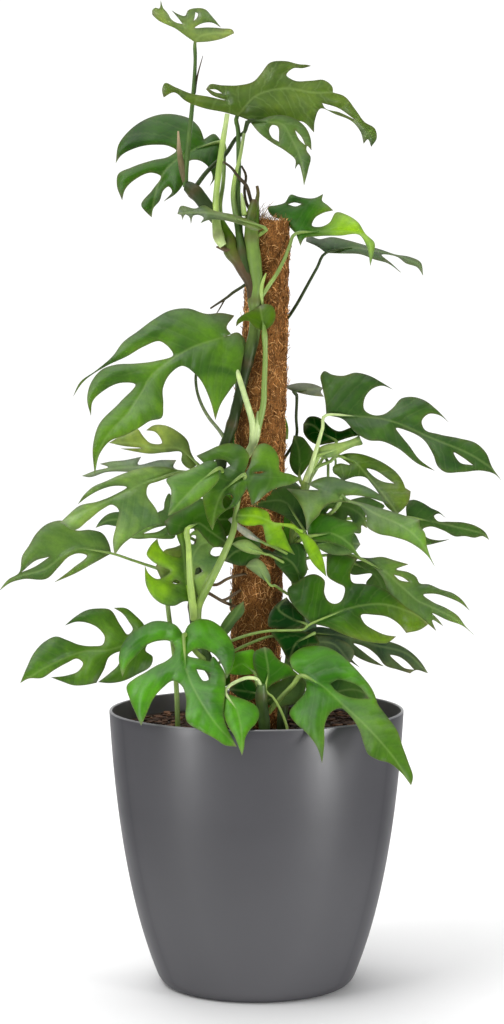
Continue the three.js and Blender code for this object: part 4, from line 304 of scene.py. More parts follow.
 "edge": [[-62, 392, 1], [-67, 405], [-68, 430], [-66, 452], [-56, 457], [-44, 450], [-32, 446, 1],
  [-36, 438.5], [-43.5, 437.5], [-46, 431.5], [-41, 429], [-36, 430], [-44, 415], [-52, 400], [-57, 389]],
 "holes": [[[-66, 444, 1], [-64.5, 441], [-61.5, 441.5], [-60, 447, 1], [-61, 450], [-65, 449.5]],
  [[-61.5, 410.5, 1], [-59, 411], [-54, 414, 1], [-57, 418], [-60, 417.3]]],
 "stalk": [[-61, 384, -40]], "thick": [1.6, 2.2]},
"leaf_behind_pole": {"tone": "dark", "stem": "darkstem", "y": 36, "slope": [0, 0.2], "fused": "back_vine",
 "rib": [[-28, 466], [-48, 466], [-66, 469]],
 "edge": [[-16, 465, 1], [-20, 456], [-28, 450], [-40, 445], [-55, 446], [-62, 455], [-66, 469, 1],
  [-56, 484], [-46, 491], [-33, 491], [-20, 479]],
 "stalk": [[-5, 468, 32], [4, 469, 29]], "thick": [1.5, 1.8]},
"leaf_crescents": {"tone": "lime", "second": ["deep", [-95, 410], [-74, 406]], "y": -46,
 "slope": [0, 0.15],
 "rib": [[-70, 400], [-72.5, 428], [-76, 450], [-78, 465]],
 "edge": [[-66, 384, 1], [-73, 383.5], [-82, 379.3], [-94, 381], [-104, 388.5], [-110, 399],
  [-111.8, 420, 1], [-107.5, 411.5], [-99, 406.3], [-93, 408], [-86, 414], [-96, 419], [-106, 425.5],
  [-109.8, 430.5], [-106.5, 439], [-99, 447, 1], [-97.3, 440], [-92, 433], [-84, 429.5], [-76.3, 428.5],
  [-75.5, 437], [-79, 447], [-81, 456], [-78, 465, 1], [-72, 455], [-70, 435], [-68.5, 415], [-67, 398]],
 "holes": [[[-85.5, 403.3, 1], [-81, 405.6], [-76, 402.6, 1], [-80.5, 401.3]]],
 "stalk": [[-64, 374, -42]], "thick": [1.8, 2.4]},
"leaf_behind_crescents": {"tone": "olive", "y": -28, "slope": [0, 0.3],
 "rib": [[-85, 412], [-101, 418.5]],
 "edge": [[-72, 400, 1], [-95, 405, 1], [-101, 418.5, 1], [-96, 428], [-92, 435], [-82, 438], [-73, 441],
  [-69, 420]],
 "stalk": [[-84, 398, -33], [-89, 388, -37], [-88, 372, -38], [-85, 350, -40], [-82, 325, -44],
  [-80, 290, -50], [-79, 258, -54], [-79, 240, -54]], "thick": [2.2, 2.6]},
"leaf_lime_young": {"tone": "lime", "matt": 0.12, "y": -64, "slope": [0, 0.4],
 "rib": [[39, 457], [30, 460], [18, 462], [0, 469], [-20.3, 470]],
 "edge": [[45, 454, 1], [37, 461], [26, 462.2], [15, 464.5], [11.5, 473], [2, 477.5], [-9, 478.3],
  [-17, 475.5], [-20.3, 470, 1], [-19, 463.5], [-14, 460.5], [-4, 459.5], [5.5, 460], [8, 451],
  [10.5, 442.5], [24, 437], [38.5, 430.5, 1], [33, 440], [29, 450], [25.7, 458.8], [33, 457.5], [41, 452],
  [45, 445], [49, 435], [56, 422.5], [70, 408.5, 1], [67.5, 423], [63.5, 435], [57, 445], [50.5, 450.5]],
 "stalk": [[43, 454, -50], [38, 449, -16]], "thick": [1.7, 2.2]},
"leaf_dark_centre": {"tone": "deepgrey", "y": -34, "slope": [0, 0.3],
 "rib": [[30, 482], [10, 484], [-4, 480]],
 "edge": [[49, 453, 1], [43, 457], [36, 463], [26, 470], [12, 476], [-4, 480, 1], [6, 488], [16, 495.3],
  [27, 500], [38, 500.5], [46, 495], [50.5, 484], [53, 470]],
 "stalk": [[46, 448, -20], [38, 445, -12]], "thick": [1.6, 2]},
"leaf_grey_right": {"tone": "grey", "second": ["bright", [120, 470], [165, 438]], "y": -46,
 "slope": [-0.1, 0.75], "fold": 0.05,
 "rib": [[90, 485.2], [97, 482.8], [104, 480.5], [118, 472], [148, 458], [166, 441], [178.5, 418.5]],
 "edge": [[86, 489.3, 1], [96, 490.2], [109, 488.6], [121, 485.3], [132, 481.5, 1], [123, 490.5],
  [112, 497.5], [101, 501.8], [89, 504.5], [77, 508.3], [66, 508], [57, 504.6], [51, 501.3, 1],
  [56, 498.6], [62, 495.4, 1], [46, 495.7], [30, 496.8, 1], [38, 489], [45, 478], [49, 465], [50, 454, 1],
  [55, 463], [62, 470], [66, 477], [72, 481.6], [83, 483.4], [94, 482.3], [104, 478], [109.5, 470],
  [110, 459.5], [120, 452.3], [136, 448.7], [151, 444], [162, 437.5], [171, 429.5], [178.5, 418.5, 1],
  [173.5, 429.5], [170, 441], [168.5, 452], [163, 460.5], [163, 465.8, 1], [148, 469.8], [134, 474.3],
  [120, 478.2], [107, 482.3], [95, 485]],
 "stalk": [[80, 478, -40], [66, 466, -33], [50, 459, -22], [39, 456, -15]], "thick": [1.8, 2.4]},
"leaf_dark_slits": {"tone": "right_edge", "y": -26, "slope": [0, 0.3],
 "rib": [[70, 479], [82, 480], [98, 475], [107, 467], [110.5, 457]],
 "edge": [[62, 474, 1], [69, 481.5], [80, 484.8], [90, 484.5], [98, 486.8], [108, 488.5], [120, 484.5],
  [128, 479], [122, 474], [110, 472], [110.5, 457, 1], [105, 460], [104.5, 452.8], [90, 455], [74, 461],
  [64, 467]],
 "holes": [[[69.5, 472.3, 1], [73.5, 476.8], [79.5, 473.3, 1]],
  [[89.5, 464, 1], [91.5, 470], [96, 464, 1]]],
 "stalk": [[50, 467, -19], [40, 467, -13]], "thick": [1.5, 1.8]},
"leaf_right_mid": {"tone": "bluegreen", "second": ["bright", [60, 462], [100, 428]], "y": -54,
 "slope": [0, 0.4], "fold": 0.1,
 "rib": [[74, 452], [92, 442], [106, 426]],
 "edge": [[52, 449, 1], [50.5, 456], [54.5, 465], [62, 471.3], [73, 470.2], [86, 465.8], [98, 462.5],
  [104.5, 453.5, 1], [98.5, 453], [95.5, 447], [97, 439.5], [101, 432], [106, 426, 1], [97.5, 431.5],
  [89, 437.5], [78, 441.6], [67, 444.2], [57, 445.5]],
 "stalk": [[48, 448, -40], [39, 441, -18]], "thick": [1.7, 2]},
"leaf_shade_mid_right": {"tone": "right_edge", "stem": "darkstem", "y": -42, "slope": [0, 0.1],
 "fused": "right_vine",
 "rib": [[70, 443], [88, 443], [104, 441]],
 "edge": [[58, 441, 1], [56, 449], [64, 455], [80, 456.5], [97, 453], [104, 441, 1], [96, 432], [84, 430],
  [71, 432], [62, 437]],
 "stalk": [[50, 437, -31], [39, 430, -17]], "thick": [1.5, 1.8]},
"leaf_olive_right": {"tone": "olivedark", "lace": 0.2, "second": ["veined", [105, 522], [132, 500]],
 "y": -14, "slope": [-0.1, 0.5], "fold": 0.1,
 "rib": [[98, 523], [112, 508], [128, 489], [141, 471.5]],
 "edge": [[81, 529.5, 1], [90, 532], [103, 531.5], [116, 527.5], [129, 521], [140, 512.5], [146.5, 503],
  [148.5, 497.5, 1], [154, 494, 1], [152.5, 485], [148.5, 478.5], [141, 471.5, 1], [134, 475], [128, 481],
  [123, 490], [116, 500], [108, 508.2], [99, 508.8], [92.5, 507], [86.5, 504.3, 1], [81, 509.5],
  [76.5, 513], [76, 518], [82, 521.8], [93, 520.5]],
 "holes": [[[110, 516.8], [119, 514.6], [129, 508], [137.5, 501.8, 1], [126, 503.8], [116, 509.7]]],
 "stalk": [[74, 524, -14], [64, 520, -13], [54, 514, -12]], "thick": [1.6, 2]},
"leaf_rolled": {"tone": "pale", "y": -22, "slope": [0.1, 0.4], "fused": "right_vine",
 "rib": [[80, 536], [104, 545.5]],
 "edge": [[62, 530, 1], [63, 537.5], [70, 541], [84, 542.8], [97, 547], [102.5, 550, 1], [104, 545.5, 1],
  [106, 541.5], [98, 539], [88, 534.5], [78, 528.8], [70, 527.5]],
 "stalk": [[62, 531, -14], [63, 529, -12.5]], "thick": [1.8, 2.4]},
"leaf_big_right": {"tone": "deepgrey", "stem": "creamstem", "y": -12, "slope": [-0.15, 0.35], "fold": 0.1,
 "rib": [[100, 569], [135, 564], [175, 547], [210, 532.5], [231, 519.5], [238, 513.4], [244.5, 505]],
 "edge": [[69.5, 570, 1], [68.5, 583], [65, 600], [63.7, 609], [67, 613.8], [75, 610.5], [86, 609.2],
  [98, 612.3], [111, 609.8], [125, 602.5], [136, 595.5, 1], [125, 599.3], [115, 596], [107.5, 586],
  [107.5, 575.5], [116, 570.2], [127, 571], [136, 577.5], [144, 586.5], [154, 588.3], [167, 585],
  [179, 576], [192, 562.5, 1], [182, 570], [171, 571], [164.7, 564], [167, 556.5], [182, 551], [202, 547],
  [219, 542], [229, 532.5], [235, 518.5], [244.5, 505, 1], [237.5, 511.3], [226, 514.5], [204, 513.2],
  [187, 513.7], [181.5, 518], [176, 531], [166, 546], [152, 553.8], [139, 557], [145, 548.5], [152, 540],
  [162, 526.5], [178, 514.5, 1], [162, 521], [140, 537.5], [125, 544], [112, 545], [98, 553.5],
  [86, 566]],
 "holes": [[[196.8, 533], [204, 529], [216, 520.2, 1], [203, 522.8]]],
 "stalk": [[66, 557, -18], [62, 543, -22], [58, 530, -22], [54, 517, -20],
  [50, 504, -15]], "thick": [1.6, 3]},
"leaf_round_dark": {"tone": "round_dark", "matt": 0.12, "y": 10, "slope": [0, 0.3],
 "rib": [[66, 552], [56, 560], [46.5, 561]],
 "edge": [[80, 543.5, 1], [70, 541.5], [62, 540.3], [53, 544.5], [47, 552.5], [46.5, 561, 1], [52, 568.3],
  [60, 568.5], [67, 564.5], [73, 558.5], [82, 554], [92, 557], [103, 562], [113, 557], [113, 548],
  [101, 549.5], [91, 547.3]],
 "stalk": [[72, 536, 6], [62, 520, -1], [50, 500, -8]], "thick": [1.5, 1.8]},
"leaf_brown_edge": {"tone": "brown_edge", "stem": "darkstem", "y": 6, "slope": [0, 1.5],
 "rib": [[50, 595], [66, 597]],
 "edge": [[36, 594, 1], [29, 598], [38, 601.3], [48, 602], [58, 600.5], [66, 597, 1], [64, 593.5],
  [67, 588.5, 1], [58, 589.3], [48, 591]],
 "stalk": [[40, 590, 8], [39.5, 568, 13], [40, 550, 20], [33, 535, 25], [22, 520, 29],
  [9, 505, 29]], "thick": [1.5, 1.6]},
"leaf_dark_stem": {"tone": "dark", "y": 2, "slope": [0, 0.1], "fused": "right_vine",
 "rib": [[43, 522], [42, 536], [37, 550]],
 "edge": [[43, 508, 1], [37, 513], [33, 522], [34, 535], [37, 550, 1], [46, 548], [52, 541], [58, 532, 1],
  [53, 522], [47, 513]],
 "stalk": [[46, 500, -8]], "thick": [1.5, 1.8]},
"leaf_far_right": {"tone": "deepgrey", "y": 6, "slope": [0.1, 0.4],
 "rib": [[175, 464], [205, 457], [222, 453], [228.5, 449.8], [232.5, 445.5]],
 "edge": [[150, 468, 1], [149.3, 478], [150.5, 484.6, 1], [157, 485.7], [165, 483], [175, 477],
  [182, 473.8], [189, 467.5, 1], [181.5, 471.8], [177.3, 469.5], [180, 465], [192, 463.7], [206, 463],
  [220, 459], [229, 452.5], [232.5, 445.5, 1], [226, 449.3], [218.5, 447.6], [208, 449.2], [199, 448.8],
  [187, 454.8], [172, 458.6], [166, 456], [169, 449], [180, 445.2], [193, 446, 1], [182, 442.8],
  [166, 441], [158, 452]],
 "stalk": [[128, 466, 4], [100, 467, -2], [70, 465, -5], [40, 462, -7]], "thick": [1.6, 2]},
"leaf_claw_right": {"tone": "mid", "y": -34, "slope": [-0.1, 0.5], "fold": 0.08,
 "rib": [[126, 415], [148, 396], [162, 384], [178, 377], [198, 366.5], [206, 361.3], [218.5, 349.5]],
 "edge": [[100, 428.5, 1], [112, 427.3], [126, 428.4], [138, 425], [152, 421, 1], [140, 416], [152, 413],
  [160, 408], [163, 402.2], [172, 401], [184, 396], [197, 391.8], [205, 386], [213.5, 374.5, 1],
  [205, 381.5], [192, 387.6], [177, 391.5], [167, 390.5], [176, 383.5], [190, 377], [201, 369.8],
  [210, 358], [218.5, 349.5, 1], [206, 359.5], [192, 364.5], [176, 371.5], [182, 365.5], [187, 359, 1],
  [176, 365], [180, 354, 1], [171, 361.5], [159, 368.5], [145, 373], [136, 381], [131.5, 393],
  [126, 407.5], [117, 418.5]],
 "holes": [[[137.5, 410.5, 1], [146, 408], [152.5, 403.3, 1], [143, 405.3]]],
 "stalk": [[90, 430, -30], [72, 437, -24], [54, 437, -18], [39, 434, -12]], "thick": [1.8, 2.4]},
# Its dark upper part, which runs into olivedark lower down, is painted shade.
"leaf_low_right": {"tone": "dark", "second": ["olivedark", [105, 385], [125, 350]], "y": -66,
 "slope": [-0.1, 0.35], "fold": 0.1,
 "rib": [[90, 376], [125, 381], [156, 372], [172.5, 361]],
 "edge": [[55, 361.5, 1], [49, 367], [40, 376], [32.5, 387], [31, 395.5], [42, 404], [50, 409.5],
  [58, 411.2], [68, 405], [68, 392], [72, 384], [78, 381.3], [84, 383.5], [87.5, 390], [88, 398],
  [80, 402.5], [71, 409], [70, 420], [70.5, 431.5, 1], [81, 433], [92, 430], [101, 426.5, 1], [96.5, 419],
  [94, 411.5], [95.5, 403.5], [108, 401.3], [122, 399], [136, 390], [150, 378], [162, 370],
  [172.5, 361, 1], [164, 355.3], [150, 352, 1], [143, 360.5], [132, 367.8], [118, 370.2], [104.5, 369.6],
  [108, 362], [118, 355], [129, 350.2], [140, 348.5, 1], [132, 342.5], [118, 342.2], [102, 345.5],
  [86, 351], [70, 358]],
 "stalk": [[47, 355.5, -64], [30, 354.5, -58], [12, 354, -54], [-8, 350, -53], [-30, 342, -50],
  [-54, 330, -44]], "thick": [1.2, 1.8]},
"leaf_shade_right": {"tone": "right_edge", "y": -18, "slope": [0, 0.2],
 "rib": [[112, 415], [124, 402], [126, 382]],
 "edge": [[93, 424, 1], [108, 424], [121, 417], [131, 404], [134, 390], [126, 382, 1], [116, 393],
  [109.5, 402], [115.5, 410.7], [94, 411.8]],
 "stalk": [[80, 430, -12], [60, 429, -12], [40, 424, -16]], "thick": [1.5, 1.8]},
"leaf_low_slits": {"tone": "darkgrey", "y": -20, "slope": [-0.1, 0.4],
 "rib": [[80, 350], [120, 339.5], [150, 331.5], [172, 311.5]],
 "edge": [[46, 352, 1], [60, 358], [76, 356], [95, 349], [114, 344], [132, 343.5], [146, 338.5],
  [157, 331], [165, 322.5], [172, 311.5, 1], [158.5, 314.3], [154, 311.3, 1], [142, 315], [129, 319.3],
  [121, 329], [110, 337.5], [97.3, 341.3], [106, 334], [115, 327], [128, 318.3, 1], [113, 322.3],
  [100, 328.3], [91.5, 334.5], [96, 325], [104, 317, 1], [92, 324.5], [80, 334], [64, 342]],
 "holes": [[[134, 329.8], [143, 328], [151, 322.5], [158, 315, 1], [149, 316.5], [141, 322.5]]],
 "stalk": [[43.5, 351.5, -31], [38, 351, -38], [30, 350, -42], [12, 348, -46], [-5, 342, -45],
  [-25, 332, -43], [-46, 314, -46]], "thick": [1.2, 1.7]},
"leaf_shade_strip": {"tone": "right_edge", "stem": "darkstem", "y": -36, "slope": [0, 0],
 "fused": "main_vine",
 "rib": [[-33, 355], [-23, 368], [-13, 384]],
 "edge": [[-40, 347, 1], [-37, 357], [-29, 370], [-20, 379], [-13, 384, 1], [-12, 374], [-21, 362],
  [-29, 351]],
 "stalk": [[-48, 344, -38], [-60, 341, -43]], "thick": [1.5, 1.8]},
"leaf_low_left": {"tone": "deep", "second": ["dark", [-125, 345], [-85, 350]], "y": -40,
 "slope": [0.2, 0.4], "fold": 0.12,
 "rib": [[-128, 341], [-150, 334.5], [-175, 333], [-208, 319], [-237, 301.5]],
 "edge": [[-106, 346, 1], [-113, 361], [-121, 369.5], [-131, 377], [-143, 377.3, 1], [-134, 371.5],
  [-128, 363.5], [-124, 355.5], [-128.5, 350.5], [-136, 359.5], [-147.5, 375.8], [-158, 376.7],
  [-170, 375], [-181, 368.8], [-192, 359.5, 1], [-180, 363.3], [-168, 361.8], [-157, 355.5],
  [-152, 347.5], [-154, 340.5], [-164, 338.8], [-178, 340.3], [-190, 345], [-201, 348.5], [-212, 343.5],
  [-223, 332], [-230.5, 317], [-237, 301.5, 1], [-229, 305.9], [-215, 306.7], [-203, 314.5],
  [-190, 321.8], [-179, 326], [-174, 322], [-178.5, 313.8], [-190, 309.3], [-206, 307.3, 1],
  [-196, 303.5], [-183, 299.2], [-170, 299.8], [-160.5, 301.8, 1], [-153, 315], [-147, 328.5],
  [-136, 333], [-138, 321], [-148, 311], [-158.8, 302.5, 1], [-148, 301.5], [-136, 303], [-120, 310],
  [-105, 320.5], [-104, 328], [-111, 334]],
 "stalk": [[-95, 351, -46], [-82, 350, -47], [-62, 342, -42]], "thick": [1.8, 2.4]},
"leaf_front_left": {"tone": "fresh", "y": -82, "slope": [0, 0.85], "fold": 0.12, "bend": 0.0008,
 "rib": [[-71, 318], [-60, 290], [-42, 262], [-20, 237.5]],
 "edge": [[-73, 350, 1], [-81, 360], [-91, 363.5], [-103, 363.8], [-114, 359], [-125, 351.5],
  [-133.5, 342], [-138, 328], [-134.5, 308, 1], [-129, 320], [-119, 331], [-109, 340.5], [-97, 344.3],
  [-86, 343.3], [-82, 337], [-84.5, 329], [-91, 323.5], [-100, 319.3], [-112, 312], [-123, 305.5],
  [-130, 299], [-127.5, 286], [-122, 273], [-115.8, 258.5, 1], [-110, 271.5], [-103, 286.5], [-94, 296.8],
  [-83, 304], [-75, 299], [-71, 288], [-69.2, 262], [-56, 253.3], [-42, 245.5], [-31, 238.6],
  [-20, 237.5, 1], [-27.5, 252], [-33, 268], [-32, 285], [-31, 300], [-31.5, 311], [-36.5, 320],
  [-44, 328], [-46.5, 323, 1], [-56, 325.8], [-69, 329.8], [-63, 335], [-54, 336], [-43, 331],
  [-35, 320.5], [-29.8, 306, 1], [-23.5, 320], [-21.5, 331], [-26, 345.5], [-36, 358.5], [-48, 365.3],
  [-60, 365.3], [-68, 360]],
 "holes": [[[-60, 315.5, 1], [-52, 314], [-46.5, 310.5], [-48.5, 304.5], [-53, 303.7], [-57, 308.5]]],
 "stalk": [[-68, 343, -74], [-60, 332, -58], [-51, 324, -47]], "thick": [2.2, 2.8]},
"leaf_lime_front": {"tone": "lime_front", "matt": 0.15, "stem": "creamstem", "y": -120, "slope": [0, 1],
 "fold": 0.2,
 "rib": [[-20, 275], [-15, 250], [-14.5, 228.5]],
 "edge": [[-31, 291, 1], [-20, 287.5], [-8, 283], [0, 278], [3, 269.5], [-0.5, 261], [-7, 254],
  [-11.5, 245], [-12.5, 236], [-14.5, 228.5, 1], [-18, 237.5], [-22, 247.5], [-29, 259], [-33, 271],
  [-33, 283]],
 "stalk": [[-28, 298, -110], [-18, 304, -106], [-8, 307, -103], [1, 305, -99],
  [4, 298, -97]], "thick": [1.5, 2]},
"leaf_heart": {"tone": "bluegreen", "stem": "palestem", "matt": 0.1, "y": -94, "slope": [0, 0.35],
 "rib": [[12, 312], [8, 338]],
 "edge": [[9, 294, 1], [4, 301], [0, 311], [-3.5, 322], [-2, 333], [8, 338, 1], [14, 335.5], [19, 328.5],
  [25, 323], [32, 320], [37, 314.5], [42, 310], [32, 307.5], [22, 303.8], [14, 299]],
 "stalk": [[16, 288, -95], [24, 275, -101], [31, 256, -104], [32, 240, -105]], "thick": [1.3, 1.6]},
"leaf_front_right": {"tone": "fresh", "second": ["deep", [85, 320], [130, 255]], "matt": 0.06, "y": -96,
 "slope": [-0.05, 1], "fold": 0.12, "bend": 0.0012,
 "rib": [[64, 300], [84, 282], [112, 256], [138, 226], [155.5, 198]],
 "edge": [[45, 309, 1], [35, 318], [33.5, 326], [43, 335.8], [56, 339], [70, 338], [84, 330.5],
  [96, 319.5], [107, 307.5], [115, 297], [119, 289], [121.5, 281], [130, 269], [141, 254], [147, 237],
  [152.5, 222], [157.3, 205], [155.5, 198, 1], [146, 210.5], [134, 220.5], [121, 224.5], [112, 230],
  [107.5, 241], [103, 254.5], [94, 268.5], [84, 276.3], [75, 272.5], [69, 261], [68.3, 242], [66, 220, 1],
  [61, 236.5], [51, 250.5], [39, 261.5], [33, 271], [40, 282], [49, 293], [49.3, 302]],
 "holes": [[[74, 301, 1], [80, 304.6], [92, 303], [103, 298], [113, 286, 1], [100, 286], [88, 289],
   [79, 294.5]]],
 "stalk": [[37, 300, -92], [24, 286, -90], [12, 272, -88]], "thick": [2.2, 2.8]},
"leaf_shade_low": {"tone": "round_dark", "y": -50, "slope": [0, 0.3],
 "rib": [[36, 366], [22, 376], [30, 388]],
 "edge": [[50, 361, 1], [40, 356.5], [22, 356], [12, 359], [12.5, 370], [19, 380], [30, 388, 1],
  [38, 378.5], [47, 369.5]],
 "stalk": [[46, 358, -40], [38, 356, -29]], "thick": [1.5, 1.8]},
"leaf_shade_vine": {"tone": "dark", "stem": "darkstem", "y": -30, "slope": [0, 0], "fused": "right_vine",
 "rib": [[42, 412], [34, 424], [16, 433]],
 "edge": [[44, 404, 1], [37, 402], [31, 408], [25, 415], [19, 422], [16, 433, 1], [22, 439], [33, 441.5],
  [46, 441.5], [50, 434], [50, 424], [50.5, 413]],
 "stalk": [[43, 399, -25], [40, 395, -20]], "thick": [1.5, 1.8]},
"leaf_shade_mid": {"tone": "round_dark", "matt": 0.06, "y": -56, "slope": [0, 0.3],
 "rib": [[40, 342], [32, 322.5]],
 "edge": [[58, 352, 1], [40, 354], [15, 351.5], [22, 342], [28, 331], [32, 322.5, 1], [40, 331.5],
  [51, 338.5], [63, 341]],
 "stalk": [[50, 346, -46], [36, 340, -33]], "thick": [1.5, 1.8]},
"leaf_shade_slits": {"tone": "darkgrey", "stem": "darkstem", "y": -37, "slope": [0, 0.1],
 "fused": "right_vine",
 "rib": [[58, 343], [78, 340.5], [94, 322]],
 "edge": [[42, 341, 1], [49, 347], [62, 349.5], [80, 346.5], [92, 341], [98, 331], [94, 322, 1],
  [86, 327], [75, 335], [60, 338], [50, 337.5]],
 "stalk": [[37, 341, -33]], "thick": [1.5, 1.8]},
"leaf_shade_left": {"tone": "shade_left", "matt": 0.15, "y": -70, "slope": [0, 0.3],
 "rib": [[-14, 321], [-30, 311]],
 "edge": [[-1, 311, 1], [-2, 322], [-3, 335], [-13, 334], [-22, 331.5], [-28, 322], [-30, 311, 1],
  [-16, 309.5]],
 "stalk": [[0, 302, -84], [4, 295, -92]], "thick": [1.5, 1.8]},
"leaf_shade_front": {"tone": "right_edge", "y": -84, "slope": [0, 0.3],
 "rib": [[20, 288], [34, 298], [48, 309]],
 "edge": [[9, 281, 1], [8, 294], [20, 302], [35, 309], [48, 309, 1], [50, 300], [47, 290], [38, 281],
  [28, 278.5], [18, 277]],
 "stalk": [[6, 272, -90]], "thick": [1.5, 1.8]},
"leaf_shade_hole": {"tone": "deepgrey", "stem": "darkstem", "y": -70, "slope": [0, 0.2],
 "fused": "right_vine",
 "rib": [[82, 293], [98, 295], [115, 289]],
 "edge": [[72, 290, 1], [71, 300], [80, 307], [95, 307], [110, 301], [115, 289, 1], [104, 282], [90, 281],
  [78, 284]],
 "stalk": [[50, 284, -60], [27, 279, -42]], "thick": [1.5, 1.8]},
"leaf_shade_dark": {"tone": "shade_dark", "matt": 0.06, "y": -76, "slope": [0, 0.3],
 "rib": [[-10, 293], [-28, 295.5]],
 "edge": [[3, 290, 1], [-2, 302], [-8, 306], [-18, 302], [-28, 295.5, 1], [-18, 287.5], [-6, 284]],
 "stalk": [[5, 281, -95]], "thick": [1.5, 1.8]},
"leaf_small_pale": {"tone": "palegrey", "y": -42, "slope": [0.1, 0.3], "fused": "right_vine",
 "rib": [[2, 418], [-11, 419]],
 "edge": [[14, 400, 1], [7, 405.5], [-1, 411.5], [-7, 416], [-11, 419, 1], [-6.5, 424.5], [0, 427],
  [6, 423.5], [11, 416], [14, 407.5]],
 "stalk": [[18, 400, -36], [30, 392, -28], [39, 388, -22]], "thick": [1.3, 1.6]},
"leaf_small_olive": {"tone": "small_olive", "y": -40, "slope": [0.1, 0.4], "fused": "right_vine",
 "rib": [[-8, 438], [-25, 441.5]],
 "edge": [[9.5, 431, 1], [-2, 431], [-12, 433.5], [-20, 438], [-25, 441.5, 1], [-18, 445], [-9, 445.5],
  [-1, 440.5]],
 "stalk": [[12, 431, -38], [25, 424, -30], [38, 416, -18]], "thick": [1.3, 1.6]},
"leaf_shade_centre": {"tone": "dark", "stem": "darkstem", "y": -34, "slope": [0, 0],
 "fused": "right_vine",
 "rib": [[-6, 436], [-20, 434], [-32, 424]],
 "edge": [[4, 436, 1], [3, 447], [-8, 449.5], [-22, 447], [-30, 436], [-32, 424, 1], [-15, 419.5],
  [-3, 422.5], [4, 430]],
 "stalk": [[20, 430, -31], [38, 423, -17]], "thick": [1.5, 1.8]},
# Its cream tone, near white, is partly painted light on a pale new leaf in shade.
"leaf_new_pale": {"tone": "cream", "y": -50, "slope": [0, 0.3], "fused": "right_vine",
 "rib": [[-8, 452], [-28.5, 465.5]],
 "edge": [[9, 441.5, 1], [-2, 444.7], [-11, 448.5], [-18, 454.5], [-28.5, 465.5, 1], [-26, 467.8],
  [-17, 461], [-8, 455.8], [0, 449]],
 "stalk": [[14, 440, -44], [26, 434, -34], [37, 428, -17]], "thick": [1.3, 1.6]}
}

# Leaves on the back side, in real millimetres: the outline of a drawn leaf, set between a base and a
# tip, and turned to face a direction.
BACK_LEAVES = {
"leaf_back_top": {"like": "leaf_olive_right", "base": [1, 69, 645], "tip": [32, 149, 560],
 "face": [-0.1, 0.3, 0.6],
 "stalk": [[3, 57, 653], [8, 42, 664], [10, 32, 676]], "thick": [1.8, 2.4]},
"leaf_back_high": {"like": "leaf_right_mid", "base": [26, 71, 612], "tip": [6, 147, 528],
 "face": [-0.4, 0.3, 0.5],
 "stalk": [[23, 58, 620], [17, 42, 628], [12, 32, 634]], "thick": [2, 2.6]},
"leaf_back_middle": {"like": "leaf_upper_left", "base": [8, 57, 530], "tip": [-57, 162, 479],
 "face": [0.4, 0.6, 0.6],
 "stalk": [[9, 48, 538], [9, 34, 548]], "thick": [2, 2.6]},
"leaf_back_side": {"like": "leaf_olive_right", "base": [-11, 72, 464], "tip": [50, 176, 427],
 "face": [-0.1, 0.3, 0.5],
 "stalk": [[-6, 60, 472], [0, 46, 481], [5, 33, 490]], "thick": [2, 2.6]},
"leaf_back_low": {"like": "leaf_olive_right", "base": [-10, 66, 400], "tip": [30, 165, 345],
 "face": [-0.1, 0.4, 0.8],
 "stalk": [[-6, 54, 408], [-1, 42, 414], [2, 33, 420]], "thick": [2, 2.6]},
"leaf_back_foot": {"like": "leaf_upper_left", "base": [16, 66, 371], "tip": [-50, 144, 304],
 "face": [-0.2, 0.7, 0.8],
 "stalk": [[13, 54, 378], [7, 42, 384], [3, 33, 388]], "thick": [2, 2.6]}
}
BACK_FOLD = 0.14
BACK_DROOP = 0.0016

# Colours of blades, stalks and stems, as they look on a screen. The darkest blade tones, round_dark
# and shade_dark, are partly painted shade, for leaves that lie in shade deep in the foliage, and cream
# is raised to near white, partly painted light on a pale new leaf that lies in shade.
TONES = {
    "olive": "89a04c", "veined": "557020", "mid": "517234", "deep": "4d7919", "grey": "577937",
    "fresh": "418406", "bright": "5a8a26", "dark": "2e580a", "lime": "85b704", "olivedark": "50710d",
    "pale": "a1bc69", "deepgrey": "385a24", "brown": "696043", "darkgrey": "495e43", "bluegreen": "2c6208",
    "palegrey": "85a06c", "cream": "f3f3f3", "stalk": "7f9a4a", "stem": "4f6b33", "node": "5b4a33",
    "lightstem": "6f8c3e", "darkstem": "334222", "palestem": "a3bf62", "creamstem": "c2d692",
    "greystem": "7d8a62", "root": "453d2c", "beige": "c3ab86", "long_left": "72964b",
    "right_edge": "517438", "round_dark": "043104", "shade_left": "6bc204", "small_olive": "92b771",
    "pole_young": "486c04", "left_slit": "678c4f", "shade_dark": "0c4404", "lime_front": "458a04",
    "upper_edge": "667f3e", "brown_edge": "5a6847",
}


def tone(name):
    """The linear colour of a named screen colour, by the sRGB rule."""
    channels = [int(TONES[name][i:i + 2], 16) / 255 for i in (0, 2, 4)]
    return np.array([c / 12.92 if c <= 0.04045 else ((c + 0.055) / 1.055) ** 2.4 for c in channels])


# Lines and outlines, in millimetres

def seen(x, z, y):
    """The real place, at depth y, of what is seen as (x, z) on the upright plane through the origin."""
    k = (y - EYE[1]) / -EYE[1]
    return np.stack([EYE[0] + (x - EYE[0]) * k, y + 0 * x, EYE[2] + (z - EYE[2]) * k], axis=-1)


